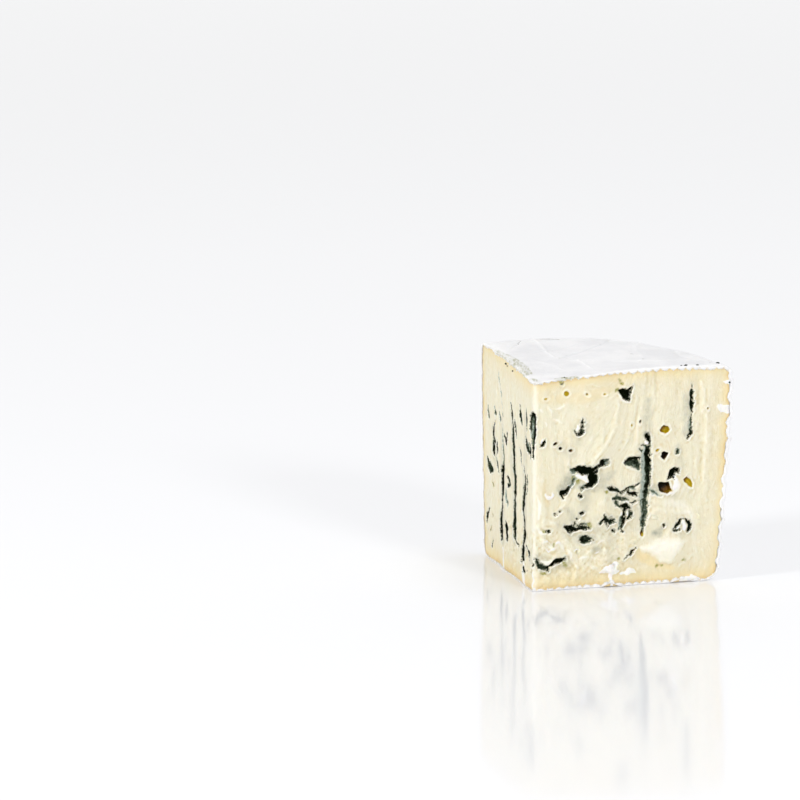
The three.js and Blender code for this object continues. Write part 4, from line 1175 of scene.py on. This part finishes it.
topSpecks = [  # x, y, size of dark grains on the top
    (44.4, 48.8, 1.7), (43.2, 47.7, 0.9), (47.9, 53, 1.3), (52.1, 63.2, 1.6), (8.2, 11.2, 0.7),
]
sideSpecks = [  # and place, height, size of those on the cut border
    (85, 82.9, 1.2), (-44.6, 87.6, 1.4), (-42.4, 87, 0.7), (-31.8, 86.6, 0.9),
]
sideCreases = [  # height and path round the side: distance round from its middle, height, width
    (-0.45, [(-22, 88, 0.7), (-21.4, 62, 0.9), (-21.6, 40, 1), (-20.4, 25, 0.9), (-16.5, 14, 0.9),
             (-12.5, 3.5, 0.8)]),
    (0.35, [(-20.6, 86, 0.8), (-20, 60, 1.2), (-20.2, 38, 1.2), (-18.8, 24, 0.9)]),
    (-0.35, [(-26, 52, 0.5), (-27.6, 38, 0.8), (-29, 29, 0.8), (-35, 20, 0.5)]),
    (-0.35, [(-17.4, 13, 0.6), (-19.6, 7, 0.8), (-20, 3, 0.6)]),
    (0.3, [(-40, 84, 1), (-43, 60, 1.8), (-47, 36, 1.6), (-49, 12, 1)]),
    (-0.3, [(-53, 80, 0.7), (-54, 55, 1), (-52, 33, 0.7)]),
    (-0.25, [(8, 57, 0.5), (5, 46, 1), (3, 38, 0.5)]),
    (-0.25, [(22, 38, 0.5), (27, 30, 0.6), (32, 25, 0.4)]),
    (-0.4, [(38, 87, 0.7), (36.5, 66, 0.9), (37.5, 44, 0.8), (41, 28, 0.9), (40, 4, 0.7)]),
    (0.32, [(39.4, 86, 0.8), (38, 64, 1.3), (39, 44, 1)]),
    (0.25, [(52, 82, 0.9), (55, 50, 1.6), (53, 20, 1)]),
    (-0.25, [(14, 88, 0.5), (12, 80, 0.7), (15, 70, 0.4)]),
]
sideStains = [  # path round the side of brown wrinkles and cracks
    [(0, 2.5, 0.5), (5, 5, 0.9), (10, 5.4, 1), (15, 2.8, 0.7), (21, 3.8, 0.9), (27, 3, 0.5)],
    [(-8, 8, 1), (-8.5, 11, 0.6)],
    [(-24.6, 86.4, 0.9), (-24.2, 87.4, 0.7)],
    [(-20.4, 84.6, 0.8), (-18.8, 84.9, 0.6)],
    [(-40, 3, 0.6), (-34, 4.8, 0.9), (-28, 3, 0.6)],
    [(44, 85, 0.7), (45.2, 85.4, 0.6)],
    [(-16.8, 13.6, 0.6), (-14.6, 8, 0.7), (-13, 5, 0.5)],
]
sideDimples = [  # distance round, height, size
    (-8.4, 77, 1.8), (-9.6, 68, 2.6), (-8, 60, 1.8), (-8.6, 54.5, 2.2), (-7.6, 46.5, 3), (-8.8, 37, 2.8),
    (-8.2, 31, 2.4), (-8.8, 23, 2.6), (-8, 16, 2.2), (29, 74, 2), (29.6, 63, 2.6), (28.6, 52, 2),
    (29.2, 41, 2.6), (28.8, 27, 2.2), (29, 15, 2),
]
greenPatches = [  # strength and path over the top
    (1, [(-42, 42, 4), (-34, 33, 7), (-26, 25.6, 9), (-18, 18, 9), (-10.4, 11, 5)]),
    (0.6, [(6.4, 8.2, 1.2), (9, 10.6, 2.2), (11.6, 12.8, 1.2)]),
    (0.35, [(-3, 4, 2), (1, 2.6, 2)]),
]
underGaps = [  # place on the right face, width, height
    (33.8, 5.6, 1.5), (65.2, 8, 1.3),
]


def makeRind():
    grid = rindGrid
    part = np.linspace(-1, 1, grid["columns"] + 1)[None, :]
    cornerHeight = wedge["cornerHeight"]
    rimRadius, underRadius = wedge["topRimRadius"], wedge["underRimRadius"]
    quarter = np.linspace(0, 1, grid["rimRows"] + 1) * math.pi / 2
    levels = np.concatenate([
        (wallHead + rimRadius * np.sin(quarter))[:0:-1],
        np.linspace(wallHead, underRadius, grid["wallRows"] + 1),
        (underRadius * (1 - np.sin(quarter)))[1:],
    ])[:, None]
    flare = grid["cornerFlare"] * ease(part, 0.85, 1) * ease(levels, 1, 8)
    sideX, sideY = backPoint(part, levels, -flare)
    sidePlace = (faceEnd(np.sign(part), levels) + flare) * np.sign(part)

    # the top and the underside are drawn from the front edge to the side's first and last row
    frontPlace = part * edgeTangent
    frontX, frontY = cutPoint(frontPlace, 0, 0)
    over = np.linspace(0, 1, grid["topRows"] + 1)[:-1, None]
    under = np.linspace(1, 0, grid["underRows"] + 1)[1:, None]
    sheets = []
    for front, side in ((frontX, sideX), (frontY, sideY), (frontPlace, sidePlace)):
        top, low = front + over * (side[:1] - front), front + under * (side[-1:] - front)
        sheets.append(np.vstack([top, side, low]))
    x, y, place = sheets
    level = np.vstack([np.full((grid["topRows"], 1), cornerHeight), levels,
                       np.zeros((grid["underRows"], 1))])
    z = level * topHeight(x, y) / cornerHeight
    rows, columns = x.shape

    # the border columns lie exactly on the cut faces, and their neighbours follow them
    for column, reach in ((0, 1), (-1, -1)):
        edgeX, edgeY = cutPoint(place[:, column], level[:, 0], 0)
        moveX, moveY = edgeX - x[:, column], edgeY - y[:, column]
        for step in range(grid["borderColumns"]):
            share = 1 - ease(step, 0, grid["borderColumns"])
            x[:, column + reach * step] += moveX * share
            y[:, column + reach * step] += moveY * share
        z[:, column] = level[:, 0] * topHeight(x[:, column], y[:, column]) / cornerHeight

    relief, painted = rindRelief(x, y, z, part, grid)
    across = np.stack(np.gradient(np.stack([x, y, z]), axis=2))
    along = np.stack(np.gradient(np.stack([x, y, z]), axis=1))
    normal = np.cross(across, along, axis=0)
    normal = normal / np.maximum(np.linalg.norm(normal, axis=0), 1e-9)
    x, y, z = np.stack([x, y, z]) + relief * normal
    along, inward = x * faceSin + y * faceCos, y * faceSin - x * faceCos
    for middle, wide, tall in underGaps:
        lift = tall * np.exp(-((along - middle) / wide * 2.2) ** 2 - (inward / 3.5) ** 2)
        z += np.where((z < 3) & (x > 0), lift, 0)
    z = np.maximum(z, 0)

    sheet = np.arange(rows * columns).reshape(rows, columns)
    loop = np.concatenate([sheet[0], sheet[1:, -1], sheet[-1, -2::-1], sheet[-2:0:-1, 0]])
    points = np.stack([x.ravel(), y.ravel(), z.ravel()], axis=-1)
    faces = np.stack([sheet[:-1, :-1], sheet[:-1, 1:], sheet[1:, 1:], sheet[1:, :-1]], axis=-1)
    faces = faces.reshape(-1, 4).tolist()
    loopLevel = level.repeat(columns, axis=1).ravel()[loop]
    rings, lobeShades = rindLips(place.ravel()[loop], loopLevel, points[loop, 2], grid)
    before = loop
    for ring in rings:
        after = len(points) + np.arange(len(loop))
        points = np.vstack([points, ring])
        quads = np.stack([np.roll(before, -1), before, after, np.roll(after, -1)], axis=-1)
        faces += quads.tolist()
        before = after
    heart = len(points)  # the hidden inside closes in one point in the middle of the paste
    points = np.vstack([points, [[0, 0.5 * wedge["cutLength"], 0.5 * wedge["frontHeight"]]]])
    fan = np.stack([np.roll(before, -1), before, np.full(len(before), heart)], axis=-1)
    faces += fan.tolist()
    values = {}
    for name, value in painted.items():
        onLip = value.ravel()[loop] * grid["lipPaint"][name]
        values[name] = np.concatenate([value.ravel(), *[onLip] * len(rings), [0]])
    values["lobeShade"] = np.concatenate([np.zeros(x.size), *lobeShades, [0]])
    return makeMesh("white_rind", points, faces, rindMaterial, values), rings[-2]


# Creases, pleats and dimples of the rind, where it is green or stained, and its painted light and shade
def rindRelief(x, y, z, part, grid):
    topRows = slice(0, grid["topRows"] + 6)  # the top, and a little way down its rim
    sideRows = slice(grid["topRows"], len(x) - grid["underRows"])
    relief = np.zeros_like(x)
    green, stain, shade, paintedLight = (np.zeros_like(x) for _ in range(4))

    flatX, flatY = x[topRows], y[topRows]
    wornX = flatX + 0.7 * hills(flatX, flatY, 5, 21) + 0.25 * hills(flatX, flatY, 1.6, 24)
    wornY = flatY + 0.7 * hills(flatX, flatY, 5, 22)
    top = sum(tall * hills(flatX, flatY, size, seed) for tall, size, seed in grid["topWaves"])
    for height, path in topCreases:
        fold = height * ease(-ribbonDistance(wornX, wornY, path), -0.8, 0.4)
        top += fold
        # each fold also paints highlight where it rises and shade where it sinks
        paintedLight[topRows] += fold
    shade[topRows] = strongest(wornX, wornY, topShades, 0.3, 0.3)
    green[topRows] = strongest(wornX, wornY, greenPatches, 1.6, 1.0)
    top += grid["furHeight"] * green[topRows] * np.maximum(-0.2, hills(flatX, flatY, 1.8, 27))
    relief[topRows] += top

    distance = np.broadcast_to(part * grid["sideLength"], x.shape)[sideRows]
    high = z[sideRows]
    worn = distance + 0.9 * hills(distance, high, 8, 31) + 0.3 * hills(distance, high, 2.5, 32)
    side = grid["pleat"] * hills(worn, high * 0.16, 8, 33)
    side += grid["smallPleat"] * hills(worn, high * 0.25, 3, 34)
    side += grid["sideGrain"] * hills(distance, high, 1.8, 35)
    for height, path in sideCreases:
        fold = height * ease(-ribbonDistance(worn, high, path), -0.9, 0.4)
        side += fold
        # and paints highlight and shade the same way, more weakly
        paintedLight[sideRows] += fold * 0.6
    for middle, height, size in sideDimples:
        gap = ovalDistance(worn, high, (middle, height), size, size * 0.8)
        side -= grid["dimple"] * ease(-gap, -0.7, 0.6)
    for path in sideStains:
        gap = ribbonDistance(worn, high, path)
        stain[sideRows] = np.maximum(stain[sideRows], ease(-gap, -0.7, 0.3))
        side -= grid["crack"] * ease(-gap, -0.5, 0.3)
    relief[sideRows] += side * ease(high, 1, 6) * ease(wedge["backHeight"] - high, 0.5, 5)

    # the cut border is smooth, and brightest by a painted highlight
    fromBorder = np.minimum((1 - np.abs(part)) * 60, np.hypot(x, y) / 2)
    calm = ease(fromBorder, 0.3, 2.2)
    borderHighlight = grid["borderHighlight"] * (1 - ease(fromBorder + 2.5 * hills(x, y, 4, 28), 0.6, 9))
    painted = {"green": green, "stain": stain, "shade": shade, "paintedLight": paintedLight * calm + borderHighlight}
    return relief * calm, painted


# The rind drawn over the cut edges: rings of points from the rind's border on to the cut
# surface and down into the paste, and how far into a gap between two lobes each point lies, painted as
# shade
def rindLips(place, level, height, grid):
    stepA = np.roll(place, -2) - np.roll(place, 2)
    stepB = np.roll(level, -2) - np.roll(level, 2)
    for _ in range(4):
        stepA = (np.roll(stepA, 1) + stepA + np.roll(stepA, -1)) / 3
        stepB = (np.roll(stepB, 1) + stepB + np.roll(stepB, -1)) / 3
    length = np.hypot(stepA, stepB)
    inA, inB = stepB / length, -stepA / length  # the way from the border into the cut face
    walked = np.cumsum(np.hypot(place - np.roll(place, 1), height - np.roll(height, 1)))
    edgeOn = 1 - np.abs(inA)  # 1 along the top and underside, 0 up the ends
    lobes = np.abs(np.sin(math.pi * walked / grid["scallopPitch"] + 0.9 * hills(walked, 0, 7, 41)))
    uneven = hills(walked, 0.5, 1.3, 42)
    slow = hills(walked, 0.5, 9, 43)
    isTop = level > 0.5 * wedge["frontHeight"]
    isRight = place > 0
    # the lip of the top is narrow near the front edge, and narrower again at the right corner
    broad = np.where(isRight, ease(place, 33, 41) * (1 - 0.8 * ease(place, 72, 84)), ease(-place, 4, 20))
    reachTop = 0.25 + 0.75 * broad + 0.75 * lobes + 0.30 * uneven + 0.30 * slow
    lumpy = 0.30 + 0.50 * broad + 0.40 * lobes + 0.40 * uneven + 0.60 * hills(walked, 0.5, 3.4, 44)
    reachTop = np.where(isRight, reachTop, lumpy)
    reachLow = np.where(isRight, 0.55 + 0.75 * lobes, 0.25 + 0.2 * lobes) + 0.3 * uneven + 0.2 * slow
    flare = np.where(isRight, grid["cornerFlare"] * ease(level, 1, 8), 0)
    reachEnd = 0.50 + flare + 0.35 * uneven + 0.30 * slow
    reach = edgeOn * np.where(isTop, reachTop, reachLow) + (1 - edgeOn) * reachEnd
    reach = np.maximum(0.3, reach)
    proud = grid["lipProud"] * (1 + edgeOn * (0.9 * lobes - 0.45))
    rings, lobeShades = [], []
    for share, out in grid["lipSteps"]:
        ringPlace = place + inA * reach * share
        ringHeight = height + inB * reach * share
        depth = proud * out if out > 0 else grid["lipRoot"] * out
        ringX, ringY = cutPoint(ringPlace, ringHeight, depth)
        rings.append(np.stack([ringX, ringY, ringHeight], axis=-1))
        lobeShades.append(edgeOn * ease(share * (1.15 - lobes), 0.35, 0.8))
    return rings, lobeShades


rind, lipBorder = makeRind()
print("rind:", len(rind.data.polygons), "faces")


# A Geometry Nodes tree with named inputs for its sizes, a seed and a material. build gets the
# bench and the inputs as wires, and gives back the wire of the finished geometry.
def makeTree(name, sizes, build):
    tree = bpy.data.node_groups.new(name, "GeometryNodeTree")
    kinds = {"Geometry": "Geometry", **dict.fromkeys(sizes, "Float"), "Seed": "Int", "Material": "Material"}
    for inputName, kind in kinds.items():
        tree.interface.new_socket(inputName, in_out="INPUT", socket_type="NodeSocket" + kind)
    tree.interface.new_socket("Geometry", in_out="OUTPUT", socket_type="NodeSocketGeometry")
    bench = Bench(tree)
    start = tree.nodes.new("NodeGroupInput")
    wires = {socket.name: Wire(bench, socket) for socket in start.outputs if socket.name}
    bench.add("NodeGroupOutput", {}, {"Geometry": build(bench, wires)})
    return tree


# Runs a tree on a mesh and keeps the result as a plain mesh piece
def grow(name, bed, tree, inputs):
    maker = addObject(name + "_bed", bed)
    modifier = maker.modifiers.new("grow", "NODES")
    modifier.node_group = tree
    for socket in tree.interface.items_tree:
        if socket.in_out == "INPUT" and socket.name in inputs:
            modifier[socket.identifier] = inputs[socket.name]
    seen = maker.evaluated_get(bpy.context.evaluated_depsgraph_get())
    mesh = bpy.data.meshes.new_from_object(seen)
    bpy.data.objects.remove(maker)
    piece = addObject(name, mesh)
    mesh.name = name
    print(name + ":", len(mesh.polygons), "faces")
    return piece


# A vector whose length is changed by a wire
def scaled(bench, vector, scale):
    return bench.add("ShaderNodeVectorMath", {"operation": "SCALE"}, {0: vector, "Scale": scale})


# A random vector between two turns or shifts that are each other's opposite
def randomVector(bench, wires, most):
    least = [-value for value in most]
    return bench.add("FunctionNodeRandomValue", {"data_type": "FLOAT_VECTOR"},
                     {0: least, 1: most, "Seed": wires["Seed"]})


def randomSize(bench, wires):
    values = {2: wires["Smallest"], 3: wires["Largest"], "Seed": wires["Seed"]}
    return bench.add("FunctionNodeRandomValue", {}, values, 1)


# A lump of radius 1 with a noisy surface
def roughLump(bench, fineness, bumpiness, seedShift):
    ball = bench.add("GeometryNodeMeshIcoSphere", {}, {"Radius": 1.0, "Subdivisions": fineness})
    position = bench.add("GeometryNodeInputPosition")
    shifted = bench.add("ShaderNodeVectorMath", {"operation": "ADD"},
                        {0: position, 1: (seedShift, seedShift, 0)})
    noise = bench.add("ShaderNodeTexNoise", {}, {"Vector": shifted, "Scale": 1.7, "Detail": 1.0})
    swell = scaled(bench, position, (noise - 0.5) * bumpiness)
    return bench.add("GeometryNodeSetPosition", {}, {"Geometry": ball, "Offset": swell})


# A lump at each point, turned and with its three sizes, as real geometry with its material
def lumpsAt(bench, wires, points, lump, rotation, sizes):
    scale = bench.add("ShaderNodeCombineXYZ", {}, dict(enumerate(sizes)))
    placed = bench.add("GeometryNodeInstanceOnPoints", {},
                       {"Points": points, "Instance": lump, "Rotation": rotation, "Scale": scale})
    real = bench.add("GeometryNodeRealizeInstances", {}, {"Geometry": placed})
    smooth = bench.add("GeometryNodeSetShadeSmooth", {}, {"Geometry": real})
    return bench.add("GeometryNodeSetMaterial", {}, {"Geometry": smooth, "Material": wires["Material"]})


# Lumps spread over a surface, flattened against it
def buildScatter(bench, wires):
    spread = bench.add("GeometryNodeDistributePointsOnFaces", {},
                       {"Mesh": wires["Geometry"], "Density": wires["Per square metre"],
                        "Seed": wires["Seed"]})
    upright = Wire(bench, spread.socket.node.outputs["Rotation"])
    turned = bench.add("FunctionNodeRotateRotation", {"rotation_space": "LOCAL"},
                       {"Rotation": upright, "Rotate By": randomVector(bench, wires, (0.5, 0.5, 3.1))})
    size = randomSize(bench, wires)
    sizes = (size, size * 0.75, size * wires["Flatness"])
    return lumpsAt(bench, wires, spread, roughLump(bench, 2, 1.1, 0.0), turned, sizes)


# Fluff along a line
def buildFringe(bench, wires):
    curve = bench.add("GeometryNodeMeshToCurve", {}, {"Mesh": wires["Geometry"]})
    points = bench.add("GeometryNodeResampleCurve", {"mode": "LENGTH"},
                       {"Curve": curve, "Length": wires["Spacing"]})
    offset = scaled(bench, randomVector(bench, wires, (1, 1, 1)), wires["Scatter"])
    moved = bench.add("GeometryNodeSetPosition", {}, {"Geometry": points, "Offset": offset})
    spin = randomVector(bench, wires, (3.1, 3.1, 3.1))
    size = randomSize(bench, wires)
    sizes = (size, size * 0.8, size * 0.6)
    return lumpsAt(bench, wires, moved, roughLump(bench, 2, 1.0, 3.0), spin, sizes)


# Grains at given points, each of its own size
def buildGrains(bench, wires):
    size = bench.add("GeometryNodeInputNamedAttribute", {"data_type": "FLOAT"}, {"Name": "size"})
    spin = randomVector(bench, wires, (0.4, 0.4, 3.1))
    sizes = (size, size * 0.7, size * wires["Flatness"])
    return lumpsAt(bench, wires, wires["Geometry"], roughLump(bench, 3, 1.3, 5.0), spin, sizes)


scatterTree = makeTree("lumps on a surface", ["Per square metre", "Smallest", "Largest", "Flatness"],
                       buildScatter)
fringeTree = makeTree("fluff along a line", ["Spacing", "Scatter", "Smallest", "Largest"], buildFringe)
grainTree = makeTree("grains at points", ["Flatness"], buildGrains)

# the size of a lump is half its width
fringe = {
    "Spacing": 0.62 * mm,
    "Scatter": 0.16 * mm,
    "Smallest": 0.16 * mm,
    "Largest": 0.42 * mm,
    "Seed": 5,
}
tufts = {"Per square metre": 1.7e6, "Smallest": 0.12 * mm, "Largest": 0.38 * mm, "Flatness": 0.8, "Seed": 3}
curds = {"Per square metre": 9.0e3, "Smallest": 0.7 * mm, "Largest": 1.9 * mm, "Flatness": 0.22, "Seed": 8}
specks = {"Flatness": 0.45, "Seed": 4}


def makeFringe():
    count = len(lipBorder)
    bed = bpy.data.meshes.new("lip border")
    bed.from_pydata(inFrame(lipBorder), [(i, (i + 1) % count) for i in range(count)], [])
    return grow("rind_fringe", bed, fringeTree, {**fringe, "Material": rindMaterial})


def makeSpecks():
    points = [(x, y, topHeight(x, y)) for x, y, _ in topSpecks]
    points += [(*cutPoint(place, height, 0.3), height) for place, height, _ in sideSpecks]
    bed = bpy.data.meshes.new("speck places")
    bed.from_pydata(inFrame(points), [], [])
    addValue(bed, "size", [size / 2 * mm for _, _, size in topSpecks + sideSpecks])
    return grow("rind_specks", bed, grainTree, {**specks, "Material": mouldMaterial})


def pasteValue(name):
    numbers = np.zeros(len(paste.data.vertices), np.float32)
    paste.data.attributes[name].data.foreach_get("value", numbers)
    return numbers


def pastePlaces():
    places = np.zeros(3 * len(paste.data.vertices))
    paste.data.vertices.foreach_get("co", places)
    return places.reshape(-1, 3)


# The faces of the paste whose points are all wanted, as a mesh to grow things on
def partOfPaste(name, wanted):
    corners = np.array([tuple(face.vertices) for face in paste.data.polygons if len(face.vertices) == 4])
    used, corners = np.unique(corners[wanted[corners].all(axis=1)], return_inverse=True)
    bed = bpy.data.meshes.new(name)
    bed.from_pydata(pastePlaces()[used].tolist(), [], corners.reshape(-1, 4).tolist())
    for valueName in ("mould", "fuzz"):
        addValue(bed, valueName, pasteValue(valueName)[used])
    return bed


def makeTufts():
    bed = partOfPaste("mouldy paste", pasteValue("mould") > 1.07)
    return grow("mould_tufts", bed, scatterTree, {**tufts, "Material": mouldMaterial})


# Curds lie on clean paste, low on the cut faces and away from the back corners
def makeCurds():
    clean = (pasteValue("mould") < 0.55) & (pasteValue("hole") < 0.5)
    plain = (pasteValue("ripe") < 0.25) & (pasteValue("pale") < 0.3)
    places = pastePlaces()
    low = (places[:, 2] < 34 * mm) & (places[:, 1] < 20 * mm)
    bed = partOfPaste("lumpy paste", clean & plain & low)
    return grow("paste_curds", bed, scatterTree, {**curds, "Material": pasteMaterial})


fringePiece = makeFringe()
speckPiece = makeSpecks()
tuftPiece = makeTufts()
curdPiece = makeCurds()

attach(paste, "root")
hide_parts("cheese_wedge")
for piece, slotName in ((rind, "rind"), (fringePiece, "rind"), (speckPiece, "mould"), (tuftPiece, "mould"),
                        (curdPiece, "paste")):
    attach(piece, "root")
print("pieces placed")

studio = {
    "cameraPlace": (853.54, -1632.67, 383.1),
    "lookDown": 9.55,
    "lookAside": 29.95,
    "lens": 202.5,
    "backdrop": 1.02,  # brightness of the room behind the wedge
    "room": 0.56,  # and of the rest of it
    "lights": [  # name, place in mm, size in mm, power in watts
        ("right light", (1900, -1100, 900), 400, 18.5),
        ("left light", (-1100, -1800, 900), 400, 20.8),
        ("top light", (300, 500, 2200), 900, 8.0),
    ],
    "lightAim": (0, 0, 45),  # the middle of the wedge
    "floorSize": 6000,
    "floorLook": {
        "Base Color": (0.84, 0.845, 0.87, 1),
        "Roughness": 0.10,
        "Specular IOR Level": 0.38,
        "Emission Color": (1, 1, 1, 1),
        "Emission Strength": 0.05,
    },
}


def metres(place):
    return [value * mm for value in place]


def makeCamera(scene):
    data = bpy.data.cameras.new("camera")
    data.sensor_width = 36
    data.lens = studio["lens"]
    data.clip_end = 30
    camera = addObject("camera", data)
    camera.location = metres(studio["cameraPlace"])
    camera.rotation_euler = (math.radians(90 - studio["lookDown"]), 0, math.radians(studio["lookAside"]))
    scene.camera = camera
    scene.view_settings.view_transform = "Standard"


# A plain white room, brighter behind the wedge
def makeRoom(scene):
    world = bpy.data.worlds.new("white room")
    world.use_nodes = True
    bench = Bench(world.node_tree)
    heading = bench.add("ShaderNodeTexCoord", out="Generated")
    aside = math.radians(studio["lookAside"])
    away = bench.add("ShaderNodeVectorMath", {"operation": "DOT_PRODUCT"},
                     {0: heading, 1: (-math.sin(aside), math.cos(aside), 0)}, "Value")
    strength = studio["room"] + (studio["backdrop"] - studio["room"]) * away.rise(0.3, 0.8)
    background = world.node_tree.nodes["Background"]
    background.inputs["Color"].default_value = (1, 1, 1, 1)
    strength.into(background, "Strength")
    scene.world = world


def makeLights():
    for name, place, size, power in studio["lights"]:
        lamp = bpy.data.lights.new(name, "AREA")
        lamp.size = size * mm
        lamp.energy = power
        light = addObject(name, lamp)
        light.location = metres(place)
        towards = Vector(metres(studio["lightAim"])) - light.location
        light.rotation_euler = towards.to_track_quat("-Z", "Y").to_euler()


def makeFloor():
    half = studio["floorSize"] / 2 * mm
    mesh = bpy.data.meshes.new("floor")
    mesh.from_pydata([(-half, -half, 0), (half, -half, 0), (half, half, 0), (-half, half, 0)], [],
                     [(0, 1, 2, 3)])
    material, _, _ = newMaterial("glossy white table", studio["floorLook"])
    mesh.materials.append(material)
    return addObject("floor", mesh)


makeCamera(bpy.context.scene)
makeRoom(bpy.context.scene)
makeLights()
floor = makeFloor()
print("studio made")
